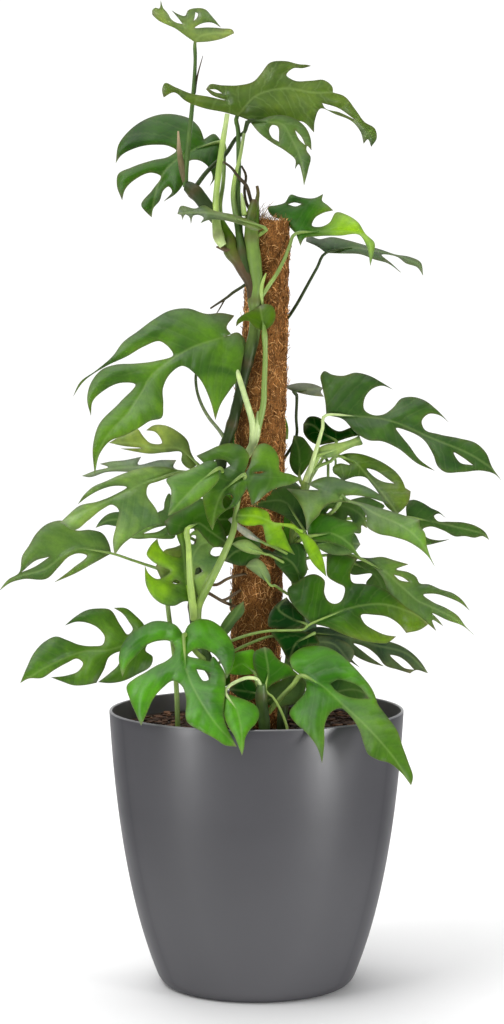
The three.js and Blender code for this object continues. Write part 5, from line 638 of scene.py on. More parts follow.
def smooth_outline(points, step):
    """A closed outline through drawn points, which turns sharply only at points marked 1."""
    count = len(points)
    place = [np.array(p[:2], float) for p in points]
    sharp = [len(p) > 2 for p in points]

    def tangent(u, v, w):
        before = np.linalg.norm(v - u)
        after = np.linalg.norm(w - v)
        return ((v - u) / before * after + (w - v) / after * before) / (before + after)

    outline = []
    for i in range(count):
        a, b = place[i], place[(i + 1) % count]
        length = np.linalg.norm(b - a)
        straight = (b - a) / length
        leave = straight if sharp[i] else tangent(place[i - 1], a, b)
        arrive = straight if sharp[(i + 1) % count] else tangent(a, b, place[(i + 2) % count])
        steps = max(1, round(length / step))
        for s in range(steps):
            t = s / steps
            from_a = 2 * t ** 3 - 3 * t ** 2 + 1
            out_of_a = (t ** 3 - 2 * t ** 2 + t) * length
            into_b = (t ** 3 - t ** 2) * length
            outline.append(from_a * a + out_of_a * leave + (1 - from_a) * b + into_b * arrive)
    return np.array(outline)


def smooth_line(points, step):
    """An open curve through points, with every number of a point carried along."""
    place = [np.array(p, float) for p in points]
    line = []
    for i in range(len(place) - 1):
        p1, p2 = place[i], place[i + 1]
        p0 = place[i - 1] if i else 2 * p1 - p2
        p3 = place[i + 2] if i + 2 < len(place) else 2 * p2 - p1
        steps = max(1, round(np.linalg.norm((p2 - p1)[:3]) / step))
        for s in range(steps):
            t = s / steps
            line.append(0.5 * (2 * p1 + (p2 - p0) * t + (2 * p0 - 5 * p1 + 4 * p2 - p3) * t ** 2
                               + (3 * p1 - p0 - 3 * p2 + p3) * t ** 3))
    line.append(place[-1])
    return np.array(line)


def bowed_line(start, bend, end, steps, stop=1.0):
    """Points on a curve from start toward end, drawn aside by bend, up to the share stop of it."""
    t = np.linspace(0, stop, steps)[:, None]
    return (1 - t) ** 2 * np.array(start) + 2 * t * (1 - t) * np.array(bend) + t ** 2 * np.array(end)


def reach_along(line):
    """How far along a line each of its points lies."""
    return np.concatenate([[0], np.cumsum(np.linalg.norm(np.diff(line, axis=0), axis=1))])


def inside(points, ring):
    """Which points lie in a closed ring."""
    hit = np.zeros(len(points), bool)
    for (x1, z1), (x2, z2) in zip(ring, np.roll(ring, -1, axis=0)):
        if z1 != z2:
            across = (z1 > points[:, 1]) != (z2 > points[:, 1])
            hit ^= across & (points[:, 0] < x1 + (points[:, 1] - z1) / (z2 - z1) * (x2 - x1))
    return hit


def in_blade(points, outline, holes):
    """Which points lie in an outline and in none of its holes."""
    keep = inside(points, outline)
    for hole in holes:
        keep &= ~inside(points, hole)
    return keep


def distance(points, line, closed=False):
    """How far each point lies from a line."""
    a = line if closed else line[:-1]
    b = np.roll(line, -1, axis=0) if closed else line[1:]
    step = b - a
    squared = np.maximum((step ** 2).sum(1), 1e-9)
    t = ((points[:, None] - a) * step).sum(2) / squared
    nearest = a + np.clip(t, 0, 1)[..., None] * step
    return np.sqrt(((points[:, None] - nearest) ** 2).sum(2)).min(1)


# The surfaces that flat leaves are laid on

def leaf_axes(leaf):
    """The base of a drawn leaf, the direction to its tip, and how far that is."""
    base = np.array(leaf["edge"][0][:2], float)
    tip = np.array(leaf["rib"][-1][:2], float)
    length = np.linalg.norm(tip - base)
    return base, (tip - base) / length, length


def leaf_coordinates(leaf, points):
    """How far points lie along a leaf's base-to-tip line, and across it."""
    base, along, _ = leaf_axes(leaf)
    away = points - base
    return away @ along, away @ np.array([-along[1], along[0]])


def drawn_surface(leaf):
    """A drawn leaf's surface: the place of a point and lift, its normal, and the upper side's sign."""
    slope_x, slope_z = leaf["slope"]
    normal = np.array([-slope_x, 1, -slope_z]) / math.hypot(slope_x, 1, slope_z)
    upper = -1 if slope_z >= 0 else 1

    def place(points, lift):
        along, across = leaf_coordinates(leaf, points)
        away = points - np.array(leaf["edge"][0][:2])
        depth = (leaf["y"] + away @ np.array([slope_x, slope_z]) + leaf.get("fold", 0) * np.abs(across)
                 + leaf.get("bend", 0) * np.maximum(along, 0) ** 2)
        return seen(points[:, 0], points[:, 1], depth + upper * lift / normal[1])
    return place, normal, upper


def back_surface(back, drawn):
    """The surface of a back leaf: a drawn outline, fitted between its own base and tip."""
    base = Vector(back["base"])
    along = Vector(back["tip"]) - base
    scale = along.length / leaf_axes(drawn)[2]
    along.normalize()
    across = Vector(back["face"]).cross(along).normalized()
    normal = along.cross(across)

    def place(points, lift):
        t, d = (value * scale for value in leaf_coordinates(drawn, points))
        raised = BACK_FOLD * np.abs(d) - BACK_DROOP * t * t + lift
        return (np.array(base) + t[:, None] * np.array(along) + d[:, None] * np.array(across)
                + raised[:, None] * np.array(normal))
    return place, np.array(normal), 1


# Side veins leave the midrib before the point nearest to their lobe's tip, bow toward the tip and
# stop short of it. The shortest are left out.
SIDE_VEIN_LEAN = 0.75
SIDE_VEIN_FIRST = 2.0
SIDE_VEIN_BOW = 0.12
SIDE_VEIN_STOP = 0.97
SIDE_VEIN_LEAST = 9.0


def leaf_veins(leaf, outline, holes):
    """The midrib, and a side vein that curves out into each lobe."""
    rib = smooth_line([leaf["edge"][0][:2]] + leaf["rib"], EDGE_STEP)
    veins = [rib]
    reach = reach_along(rib)
    tips = [p[:2] for p in leaf["edge"][1:] if len(p) > 2 and p[:2] != leaf["rib"][-1][:2]]
    for tip in tips:
        end = np.array(tip, float)
        gap = np.linalg.norm(rib - end, axis=1)
        nearest = gap.argmin()
        start_at = max(reach[nearest] - SIDE_VEIN_LEAN * gap[nearest], SIDE_VEIN_FIRST)
        start = np.array([np.interp(start_at, reach, rib[:, j]) for j in (0, 1)])
        bend = (start + end) / 2 + (end - rib[nearest]) * SIDE_VEIN_BOW
        steps = max(4, round(np.linalg.norm(end - start) / EDGE_STEP))
        vein = bowed_line(start, bend, end, steps, SIDE_VEIN_STOP)
        good = in_blade(vein, outline, holes)
        good[0] = True
        length = len(good) if good.all() else int(np.argmin(good))
        vein = vein[:length]
        if length > 2 and np.linalg.norm(vein[-1] - vein[0]) > SIDE_VEIN_LEAST:
            veins.append(vein)
    return veins


# The grid inside a blade: how high a row is, and how clear it stays of edges and veins, in grid steps
GRID_ROW = 0.866
CLEAR_OF_EDGE = 0.55
CLEAR_OF_VEIN = 0.5

# Points nearer to each other than this are one, and triangles smaller than this are left out
TINY = 1e-4


def leaf_grid(outline, holes, veins):
    """Points inside the blade, on an even grid, clear of its edges and veins."""
    low, high = outline.min(0), outline.max(0)
    spots = []
    for i, z in enumerate(np.arange(low[1], high[1], GRID * GRID_ROW)):
        spots.extend((x, z) for x in np.arange(low[0] + (i % 2) * GRID / 2, high[0], GRID))
    spots = np.array(spots)
    keep = in_blade(spots, outline, holes)
    for ring in [outline] + holes:
        keep &= distance(spots, ring, True) > CLEAR_OF_EDGE * GRID
    for vein in veins:
        keep &= distance(spots, vein) > CLEAR_OF_VEIN * GRID
    return spots[keep]


def triangulate(leaf):
    """The flat blade: points, triangles, midrib, and the distance of each point from veins and edges."""
    outline = smooth_outline(leaf["edge"], EDGE_STEP)
    holes = [smooth_outline(hole, EDGE_STEP) for hole in leaf.get("holes", [])]
    rings = [outline] + holes
    veins = leaf_veins(leaf, outline, holes)
    points = []
    edges = []
    for i, line in enumerate(rings + veins):
        first = len(points)
        points.extend(Vector(p) for p in line)
        edges.extend((k, k + 1) for k in range(first, len(points) - 1))
        if i < len(rings):
            edges.append((len(points) - 1, first))
    points.extend(Vector(p) for p in leaf_grid(outline, holes, veins))
    verts, _, faces, _, _, _ = geometry.delaunay_2d_cdt(points, edges, [], 0, TINY)
    flat = np.array([tuple(v) for v in verts])
    faces = np.array(faces)
    a, b, c = (flat[faces[:, i]] for i in range(3))
    area = (b[:, 0] - a[:, 0]) * (c[:, 1] - a[:, 1]) - (b[:, 1] - a[:, 1]) * (c[:, 0] - a[:, 0])
    faces = faces[in_blade(flat[faces].mean(1), outline, holes) & (np.abs(area) > TINY)]
    used = np.unique(faces)
    renumber = np.full(len(flat), -1)
    renumber[used] = np.arange(len(used))
    flat = flat[used]
    vein_gap = np.min([distance(flat, vein) for vein in veins], axis=0)
    edge_gap = np.min([distance(flat, ring, True) for ring in rings], axis=0)
    return flat, renumber[faces], veins[0], vein_gap, edge_gap


# Relief of a blade, in millimetres: it is creased at its midrib, puffed between side veins that
# lean toward the tip, raised away from every vein, curled down at its margin, and it waves.
# A blade smaller than FULL_SIZE has less of each.
FULL_SIZE = 90.0
CREASE = 1.6
CREASE_REACH = 6.0
PUFF = 0.75
PUFF_PITCH = 13.0
PUFF_START = 9.0
PUFF_CLEAR = 0.3
QUILT = 0.7
QUILT_REACH = 6.0
CURL = 3.4
CURL_REACH = 15.0
WAVE = 3.2
WAVE_LENGTH = 52.0


def side_phase(flat, rib):
    """How far each point lies along the row of side veins, counted in veins, and from the midrib."""
    reach = reach_along(rib)
    nearest = ((flat[:, None] - rib) ** 2).sum(2).argmin(1)
    away = flat - rib[nearest]
    gap = np.linalg.norm(away, axis=1)
    ahead = rib[np.minimum(nearest + 1, len(rib) - 1)] - rib[np.maximum(nearest - 1, 0)]
    left = (ahead[:, 0] * away[:, 1] - ahead[:, 1] * away[:, 0]) > 0
    return (reach[nearest] - SIDE_VEIN_LEAN * gap) / PUFF_PITCH + 0.5 * left, gap


def blade_lift(flat, rib, vein_gap, edge_gap, seed):
    """How far each point is raised, and where it lies along the row of side veins."""
    share = min(1.0, math.sqrt(len(flat)) * GRID / FULL_SIZE)
    phase, rib_gap = side_phase(flat, rib)
    clear = np.clip(rib_gap / PUFF_START - PUFF_CLEAR, 0, 1)
    puff = PUFF * share * np.abs(np.sin(math.pi * phase)) * clear
    crease = -CREASE * share * np.exp(-rib_gap / CREASE_REACH)
    quilt = QUILT * share * (1 - np.exp(-vein_gap / QUILT_REACH))
    curl = -CURL * share * np.maximum(0, 1 - edge_gap / (CURL_REACH * share)) ** 2
    wave = np.array([noise.noise(Vector((x / WAVE_LENGTH, z / WAVE_LENGTH, seed))) for x, z in flat])
    return puff + crease + quilt + curl + WAVE * share * wave, phase


# What each vertex of a leaf carries besides its colour: how near a main vein it lies, how far along
# the row of side veins, how strongly these show, whether it is on the under side, and how much gloss
# is taken off. On the planter, vein is the rim, side the depth below it and under the inside; these
# place the painted highlight on the rim and the painted light low on the wall and inside. A look
# that has its own colour gets NO_TINT.
MARKS = ("vein", "side", "lace", "under", "matt")
NO_TINT = (0.1, 0.1, 0.1)
SHARP_ANGLE = math.radians(50)


class Builder:
    """Gathers one piece: its vertices, faces and what each vertex carries."""

    def __init__(self):
        self.points = []
        self.faces = []
        self.slots = []
        self.tint = []
        self.marks = {key: [] for key in MARKS}
        self.count = 0

    def add(self, points, faces, tint, slot=0, **marks):
        points = np.asarray(points, float)
        size = len(points)
        self.points.append(points * MM)
        self.faces.extend(tuple(int(i) + self.count for i in face) for face in faces)
        self.slots.extend([slot] * len(faces))
        self.tint.append(np.broadcast_to(tint, (size, 3)))
        for key, values in self.marks.items():
            values.append(np.broadcast_to(marks.get(key, 0.0), size))
        self.count += size

    def finish(self, name, node, materials):
        """Makes the piece, on the one body, in place of a node."""
        mesh = bpy.data.meshes.new(name)
        mesh.from_pydata(np.concatenate(self.points).tolist(), [], self.faces)
        for material in materials:
            mesh.materials.append(material)
        mesh.polygons.foreach_set("material_index", self.slots)
        tint = np.concatenate(self.tint)
        colour = mesh.color_attributes.new("tint", "FLOAT_COLOR", "POINT")
        colour.data.foreach_set("color", np.hstack([tint, np.ones((len(tint), 1))]).ravel())
        for key, values in self.marks.items():
            layer = mesh.attributes.new(key, "FLOAT", "POINT")
            layer.data.foreach_set("value", np.concatenate(values).astype(np.float32))
        mesh.polygons.foreach_set("use_smooth", [True] * len(mesh.polygons))
        mesh.set_sharp_from_angle(angle=SHARP_ANGLE)
        mesh.update()
        piece = bpy.data.objects.new(name, mesh)
        bpy.context.scene.collection.objects.link(piece)
        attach(piece, "root")
        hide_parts(node)


# How strongly veins mark a blade: the midrib's reach in side vein reaches, the side veins' share of
# the midrib's strength, and the lace of a leaf that names none
RIB_REACH = 1.3
SIDE_VEIN_SHARE = 0.6
LACE = 0.1


def add_blade(build, leaf, surface, tint, seed):
    """The blade of a leaf: two sides and the rim between them."""
    place, normal, upper = surface
    flat, faces, rib, vein_gap, edge_gap = triangulate(leaf)
    lift, phase = blade_lift(flat, rib, vein_gap, edge_gap, seed)
    middle = place(flat, lift)
    half = normal * BLADE / 2
    vein = np.maximum(np.maximum(0, 1 - distance(flat, rib) / (RIB_REACH * VEIN_REACH)),
                      SIDE_VEIN_SHARE * np.maximum(0, 1 - vein_gap / VEIN_REACH))
    shade = worn(leaf, flat, edge_gap, leaf_shade(leaf, flat, tint))
    count = len(flat)
    pairs = [pair for a, b, c in faces.tolist() for pair in ((a, b), (b, c), (c, a))]
    taken = set(pairs)
    rim = [(a, b) for a, b in pairs if (b, a) not in taken]
    solid = [tuple(face) for face in faces] + [tuple(face[::-1] + count) for face in faces]
    solid += [(a, count + a, count + b, b) for a, b in rim]
    under = np.concatenate([np.zeros(count), np.full(count, 1.0 if upper < 0 else 0.0)])
    build.add(np.concatenate([middle - half, middle + half]), solid, np.concatenate([shade, shade]),
              under=under, vein=np.tile(vein, 2), side=np.tile(phase, 2),
              lace=leaf.get("lace", LACE), matt=leaf.get("matt", 0.0))


def leaf_shade(leaf, flat, tint):
    """The colour of each point: one tone, or two that run into each other, the second painted shade on
    some.
    """
    if "second" not in leaf:
        return np.broadcast_to(tint, (len(flat), 3))
    other, start, end = leaf["second"]
    start, end = np.array(start, float), np.array(end, float)
    run = end - start
    share = np.clip((flat - start) @ run / (run @ run), 0, 1)
    share = share * share * (3 - 2 * share)
    return tint + share[:, None] * (tone(other) - tint)


# The margin's reach, share and colour, and the same of the dry tips
MARGIN = 1.2
MARGIN_SHARE = 0.5
MARGIN_BROWN = np.array([0.085, 0.08, 0.035])
DRY_TIP = 4.5
DRY_SHARE = 0.5
DRY_GREY = np.array([0.22, 0.21, 0.15])


def worn(leaf, flat, edge_gap, shade):
    """The leaf's colour with its thin brown margin and its dry, greyer claw tips."""
    edge = [np.array(p[:2], float) for p in leaf["edge"]]
    turn = sum(a[0] * b[1] - a[1] * b[0] for a, b in zip(edge, edge[1:] + edge[:1]))
    dry = np.zeros(len(flat))
    for i, point in enumerate(leaf["edge"][1:], 1):
        before, spot, after = edge[i - 1], edge[i], edge[(i + 1) % len(edge)]
        way, away = spot - before, after - spot
        if len(point) > 2 and turn * (way[0] * away[1] - way[1] * away[0]) > 0:
            dry = np.maximum(dry, np.exp(-((flat - spot) ** 2).sum(1) / DRY_TIP ** 2))
    shade = shade + (DRY_SHARE * dry)[:, None] * (DRY_GREY - shade)
    return shade + (MARGIN_SHARE * np.exp(-edge_gap / MARGIN))[:, None] * (MARGIN_BROWN - shade)


# Round limbs

# Where the first ring's sides are counted from, and how narrow a flute is
FLUTE_FROM = np.array([0, -1, 0.3])
FLUTE_POWER = 6


def turns_of(count):
    """The angles of even steps round a circle."""
    return [s / count * 2 * math.pi for s in range(count)]


def tube_faces(rings, sides):
    """Faces between rings of points, with a flat face at both ends."""
    faces = []
    for i in range(rings - 1):
        for s in range(sides):
            a = i * sides + s
            b = i * sides + (s + 1) % sides
            faces.append((a, b, b + sides, a + sides))
    last = (rings - 1) * sides
    faces.append(tuple(range(sides))[::-1])
    faces.append(tuple(last + s for s in range(sides)))
    return faces


def add_tube(build, line, tints, sides=10, slot=1, flute=0.0):
    """A round limb along a line of (x, y, z, radius), closed at both ends."""
    tangents = np.gradient(line[:, :3], axis=0)
    tangents /= np.linalg.norm(tangents, axis=1)[:, None]
    side = np.cross(FLUTE_FROM, tangents[0])
    points = []
    for spot, tangent, radius in zip(line[:, :3], tangents, line[:, 3]):
        side = side - (side @ tangent) * tangent
        side /= np.linalg.norm(side)
        other = np.cross(tangent, side)
        for angle in turns_of(sides):
            wide = radius * (1 - flute * max(0, math.cos(angle)) ** FLUTE_POWER)
            points.append(spot + wide * (math.cos(angle) * side + math.sin(angle) * other))
    build.add(np.array(points), tube_faces(len(line), sides), np.repeat(tints, sides, axis=0), slot)


# A leaf stalk: its knee is a swelling just under the blade, and it turns to the blade's colour there
STALK_STEP = 4.0
STALK_FLUTE = 0.18
ROOT_RADIUS = 0.35
KNEE = 0.22
KNEE_AT = 16.0
KNEE_REACH = 7.0
TOP_REACH = 14.0


def add_stalk(build, leaf, place, stalk_points, thick, tint):
    """The leaf stalk, which runs up into the midrib."""
    root = [leaf["edge"][0][:2]]
    if len(leaf["rib"]) > 1:
        root = [leaf["rib"][0][:2]] + root
    start = place(np.array(root, float), np.full(len(root), -leaf.get("behind", 0.0)))
    route = np.concatenate([start, np.array(stalk_points, float)])
    count = len(route) - len(start) + 1
    radii = [ROOT_RADIUS] * (len(start) - 1) + list(np.linspace(thick[0], thick[1], count))
    line = smooth_line(np.column_stack([route, radii]), STALK_STEP)
    reach = reach_along(line[:, :3])
    line[:, 3] *= 1 + KNEE * np.exp(-((reach - KNEE_AT) / KNEE_REACH) ** 2)
    top = np.clip(1 - reach / TOP_REACH, 0, 1)[:, None]
    tints = tone(leaf.get("stem", "stalk")) * (1 - top) + tint * top
    add_tube(build, line, tints, flute=STALK_FLUTE)


def add_leaf(build, leaf, surface, stalk_points, thick, seed):
    tint = tone(leaf["tone"])
    add_blade(build, leaf, surface, tint, seed)
    add_stalk(build, leaf, surface[0], stalk_points, thick, tint)


def add_drawn_leaf(build, leaf, seed):
    stalk_points = [seen(*point) for point in leaf["stalk"]]
    add_leaf(build, leaf, drawn_surface(leaf), stalk_points, leaf["thick"], seed)


# Materials

class Look:
    """A material with one principled shader and short calls for the nodes that feed it."""

    def __init__(self, name, roughness, **sockets):
        self.material = bpy.data.materials.new(name)
        self.material.use_nodes = True
        self.tree = self.material.node_tree
        self.shader = self.tree.nodes["Principled BSDF"]
        self.shader.inputs["Roughness"].default_value = roughness
        for key, value in sockets.items():
            self.shader.inputs[key.replace("_", " ")].default_value = value
        self.spot = self.node("ShaderNodeTexCoord").outputs["Object"]

    def node(self, kind, **values):
        made = self.tree.nodes.new(kind)
        for key, value in values.items():
            setattr(made, key, value)
        return made

    def link(self, source, target):
        self.tree.links.new(source, target)

    def feed(self, value, socket):
        """Links a socket to another, or sets it to a number or a colour."""
        if isinstance(value, bpy.types.NodeSocket):
            self.link(value, socket)
        elif hasattr(value, "__len__"):
            socket.default_value = (*value, 1.0)
        else:
            socket.default_value = value

    def attribute(self, name, output="Fac"):
        return self.node("ShaderNodeAttribute", attribute_name=name).outputs[output]

    def noise(self, scale, detail=3.0, stretch=None, distortion=0.0):
        made = self.node("ShaderNodeTexNoise")
        made.inputs["Scale"].default_value = scale
        made.inputs["Detail"].default_value = detail
        made.inputs["Distortion"].default_value = distortion
        source = self.spot
        if stretch:
            mapping = self.node("ShaderNodeMapping")
            mapping.inputs["Scale"].default_value = stretch
            self.link(source, mapping.inputs["Vector"])
            source = mapping.outputs["Vector"]
        self.link(source, made.inputs["Vector"])
        return made.outputs["Fac"]

    def span(self, source, low, high, to_low=0.0, to_high=1.0):
        """Turns the range low to high into to_low to to_high, and stops at its ends."""
        made = self.node("ShaderNodeMapRange")
        for key, value in (("From Min", low), ("From Max", high), ("To Min", to_low), ("To Max", to_high)):
            made.inputs[key].default_value = value
        self.link(source, made.inputs["Value"])
        return made.outputs["Result"]

    def math(self, kind, a, b):
        made = self.node("ShaderNodeMath", operation=kind)
        for socket, value in zip(made.inputs, (a, b)):
            self.feed(value, socket)
        return made.outputs[0]

    def mix(self, share, a, b, kind="MIX"):
        """Mixes two colours: a mix node has its share at 0, its colours at 6 and 7, the result at 2."""
        made = self.node("ShaderNodeMix", data_type="RGBA", blend_type=kind)
        self.feed(share, made.inputs[0])
        self.feed(a, made.inputs[6])
        self.feed(b, made.inputs[7])
        return made.outputs[2]

    def times(self, colour, factors):
        return self.mix(1.0, colour, factors, "MULTIPLY")

    def bump(self, height, strength, depth):
        made = self.node("ShaderNodeBump")
        made.inputs["Strength"].default_value = strength
        made.inputs["Distance"].default_value = depth
        self.link(height, made.inputs["Height"])
        self.link(made.outputs["Normal"], self.shader.inputs["Normal"])

    def set(self, socket, value):
        self.link(value, self.shader.inputs[socket])

    def paint(self, colour):
        self.set("Base Color", colour)
        return self.material


def blade_look():
    look = Look("leaf blade", 0.36, Subsurface_Weight=0.1,
                Subsurface_Radius=(0.35, 1.0, 0.15), Subsurface_Scale=0.002)
    tint = look.attribute("tint", "Color")
    vein = look.attribute("vein")
    # Soft clouds of darker and lighter green, and fine dark specks
    cloud = look.span(look.noise(24, 3, distortion=0.6), 0.34, 0.66)
    colour = look.mix(cloud, look.times(tint, (0.52, 0.6, 0.62)), look.times(tint, (1.5, 1.34, 0.95)))
    colour = look.mix(look.span(look.noise(420, 2), 0.35, 0.65, 0, 0.14), colour, (0.02, 0.045, 0.01))
    # Side veins: gap is how far a point lies from one, and the panel between two is darker near them,
    # painted shade in the hollow where the blade dips to the vein
    gap = look.math("PINGPONG", look.attribute("side"), 0.5)
    colour = look.mix(look.span(gap, 0.04, 0.4, 0.75, 0.0), colour, look.times(colour, (0.8, 0.84, 0.84)))
    pale = look.mix(0.35, tint, (0.42, 0.55, 0.18))
    side_vein = look.math("MULTIPLY", look.span(gap, 0.03, 0.11, 1.0, 0.0), look.attribute("lace"))
    colour = look.mix(side_vein, colour, pale)
    colour = look.mix(look.span(vein, 0.45, 0.95, 0.0, 0.42), colour, pale)
    # The under side is paler and greyer
    below = look.mix(0.35, tint, (0.3, 0.4, 0.2))
    colour = look.mix(look.math("MULTIPLY", look.attribute("under"), 0.75), colour, below)
    look.set("Roughness", look.span(look.noise(60, 2), 0.3, 0.7, 0.3, 0.46))
    gloss = look.math("SUBTRACT", look.span(tint, 0.03, 0.2, 0.12, 0.4), look.attribute("matt"))
    look.set("Specular IOR Level", gloss)
    sunk = look.math("MULTIPLY", look.math("ADD", vein, side_vein), -0.8)
    look.bump(look.math("ADD", look.math("MULTIPLY", look.noise(240, 3), 0.35), sunk), 0.35, 0.0006)
    return look.paint(colour)


def stalk_look():
    look = Look("leaf stalk", 0.42)
    tint = look.attribute("tint", "Color")
    look.set("Specular IOR Level", look.span(tint, 0.02, 0.2, 0.1, 0.45))
    streak = look.noise(260, 3, stretch=(1, 1, 0.08))
    colour = look.mix(look.span(streak, 0.35, 0.65, 0, 0.4), tint, look.times(tint, (0.6, 0.66, 0.6)))
    patch = look.span(look.noise(70, 3), 0.5, 0.75, 0, 0.5)
    colour = look.mix(patch, colour, look.times(tint, (1.7, 1.6, 1.3)))
    look.bump(streak, 0.4, 0.0006)
    return look.paint(colour)


def coir_look():
    look = Look("coir fibre", 0.85, Specular_IOR_Level=0.12)
    tint = look.attribute("tint", "Color")
    patch = look.span(look.noise(45, 4), 0.35, 0.7, 0, 0.5)
    colour = look.mix(patch, tint, look.times(tint, (0.55, 0.5, 0.46)))
    fibre = look.span(look.noise(520, 4, stretch=(1, 1, 0.6), distortion=2.5), 0.4, 0.6)
    colour = look.mix(fibre, look.times(colour, (0.42, 0.38, 0.36)), look.times(colour, (1.6, 1.5, 1.25)))
    look.bump(look.noise(900, 4, stretch=(1, 1, 0.25)), 0.7, 0.0008)
    return look.paint(colour)


def soil_look():
    look = Look("potting soil", 0.95, Specular_IOR_Level=0.2)
    tint = look.attribute("tint", "Color")
    damp = look.span(look.noise(300, 5), 0.4, 0.65, 0, 0.7)
    look.bump(look.noise(700, 5), 0.8, 0.001)
    return look.paint(look.mix(damp, tint, look.times(tint, (0.4, 0.38, 0.38))))


def pot_look():
    """Satin plastic with a painted highlight on the rim, and painted light inside and toward the foot."""
    look = Look("grey plastic", 0.3, IOR=1.5)
    grain = look.noise(1500, 2)
    rim = look.attribute("vein")
    cloud = look.span(look.noise(9, 3), 0.35, 0.65)
    colour = look.mix(cloud, (0.032, 0.0312, 0.037), (0.038, 0.0372, 0.0435))
    colour = look.mix(look.span(grain, 0.45, 0.6, 0, 0.12), colour, (0.06, 0.059, 0.063))
    # Painted highlight: the rim is lighter
    colour = look.mix(rim, colour, (0.12, 0.12, 0.125))
    # Painted light: paler toward the foot, lifting the shade on the lower wall
    colour = look.mix(look.span(look.attribute("side"), 0.35, 1.0), colour, (0.081, 0.08, 0.087))
    # Painted light: the inside above the soil is much paler, lifting its shade
    colour = look.mix(look.attribute("under"), colour, (0.15, 0.148, 0.152))
    look.set("Roughness", look.span(look.noise(35, 4), 0.3, 0.7, 0.33, 0.39))
    look.bump(grain, 0.05, 0.0002)
    # Gloss falls off where the wall turns away, and the rim has more
    facing = look.node("ShaderNodeLayerWeight").outputs["Facing"]
    gloss = look.math("ADD", look.span(facing, 0.2, 0.6, 0.62, 0.05), look.math("MULTIPLY", rim, 0.5))
    look.set("Specular IOR Level", gloss)
    return look.paint(colour)


def wood_look():
    look = Look("stake wood", 0.85, Specular_IOR_Level=0.25)
    ring = look.noise(500, 4, stretch=(1, 1, 0.1), distortion=1.0)
    look.bump(ring, 0.6, 0.0008)
    return look.paint(look.mix(look.span(ring, 0.35, 0.65), (0.10, 0.065, 0.04), (0.24, 0.17, 0.1)))


PLANT_LOOKS = [blade_look(), stalk_look()]
COIR_LOOK = coir_look()
SOIL_LOOK = soil_look()
POT_LOOK = pot_look()
WOOD_LOOK = wood_look()


# Leaves and stems

# Each leaf waves by a seed of its own. These are the step from leaf to leaf and where back leaves
# start. Fused leaves start elsewhere and count up by one.
SEED_STEP = 3.1
BACK_SEED = 200
FUSED_SEED = 90


def make_leaves():
    for i, (name, leaf) in enumerate(LEAVES.items()):
        if "fused" not in leaf:
            build = Builder()
            add_drawn_leaf(build, leaf, i * SEED_STEP)
            build.finish("dressed_" + name, name, PLANT_LOOKS)
    for i, (name, back) in enumerate(BACK_LEAVES.items()):
        drawn = LEAVES[back["like"]]
        shape = {key: value for key, value in drawn.items() if key not in ("second", "stem")}
        build = Builder()
        add_leaf(build, shape, back_surface(back, drawn), back["stalk"], back["thick"],
                 BACK_SEED + i * SEED_STEP)
        build.finish("dressed_" + name, name, PLANT_LOOKS)


# A stem swells and darkens at its joints, where it is thick enough, and is uneven all along
STEM_STEP = 3.0
STEM_SIDES = 12
JOINT_PITCH = 62.0
JOINT_START = 20.0
JOINT_REACH = 4.5
JOINT_SWELL = 0.16
JOINT_SHARE = 0.5
JOINTED_OVER = 4.0
UNEVEN = 0.07
UNEVEN_SCALE = 0.09


def add_limb(build, tones, path, usual_radius):
    """One limb of a stem, whose tones run into each other along it."""
    points = [(*seen(*p[:3]), p[3] if len(p) > 3 else usual_radius) for p in path]
    line = smooth_line(points, STEM_STEP)
    reach = reach_along(line[:, :3])
    from_joint = (reach + JOINT_START) % JOINT_PITCH - JOINT_PITCH / 2
    joint = np.exp(-(from_joint / JOINT_REACH) ** 2) * (line[:, 3] > JOINTED_OVER)
    uneven = np.array([noise.noise(Vector(p) * UNEVEN_SCALE) for p in line[:, :3]])
    line[:, 3] *= 1 + JOINT_SWELL * joint
    line[:, 3] *= 1 + UNEVEN * uneven
    colours = np.array([tone(name) for name in tones])
    stops = np.linspace(0, reach[-1], len(tones))
    base = np.stack([np.interp(reach, stops, colours[:, k]) for k in range(3)], axis=1)
    tints = base + joint[:, None] * JOINT_SHARE * (tone("node") - base)
    add_tube(build, line, tints, sides=STEM_SIDES)


def make_vines():
    for name, vine in VINES.items():
        build = Builder()
        for tones, path in vine["limbs"]:
            add_limb(build, tones.split(), path, vine["radius"])
        for i, leaf in enumerate(LEAVES.values()):
            if leaf.get("fused") == name:
                add_drawn_leaf(build, leaf, FUSED_SEED + i)
        build.finish("dressed_" + name, name, PLANT_LOOKS)


# The coir sleeve draws in by this much between these heights, and leans right to match
DRAWN_IN = 3.0
DRAW_FROM = 600.0
DRAW_TO = 660.0

# Its core lies under the fibres, with lumps and a dent round it near the top. The noise of a lump is
# given as its falloff, how much finer each layer is, and how many layers.
CORE_SUNK = 1.6
CORE_LUMP = 1.1
CORE_SCALE = 2.2
CORE_STRETCH = 0.03
CORE_NOISE = (0.8, 2.0, 4)
DENT = 1.2
DENT_AT = 705.0
DENT_REACH = 2.5
CORE_COLOUR = (0.24, 0.11, 0.034)
CORE_ROW = 2.0
CORE_AROUND = 72


def drawn_in(z):
    """How much narrower the sleeve is at this height."""
    return DRAWN_IN * min(1, max(0, (z - DRAW_FROM) / (DRAW_TO - DRAW_FROM)))


def pole_centre(z):
    centre = POLE_LOW + (POLE_TOP - POLE_LOW) * ((z - POLE_LOW.z) / (POLE_TOP.z - POLE_LOW.z))
    return centre + Vector((drawn_in(z), 0, 0))


def pole_point(angle, z, radius):
    centre = pole_centre(z)
    return np.array([centre.x + radius * math.cos(angle), radius * math.sin(angle), z])


def core_radius(angle, z):
    spot = Vector((math.cos(angle), math.sin(angle), z * CORE_STRETCH)) * CORE_SCALE
    lump = noise.fractal(spot, *CORE_NOISE)
    dent = DENT * math.exp(-((z - DENT_AT) / DENT_REACH) ** 2)
    return POLE_RADIUS - drawn_in(z) - CORE_SUNK + CORE_LUMP * lump - dent


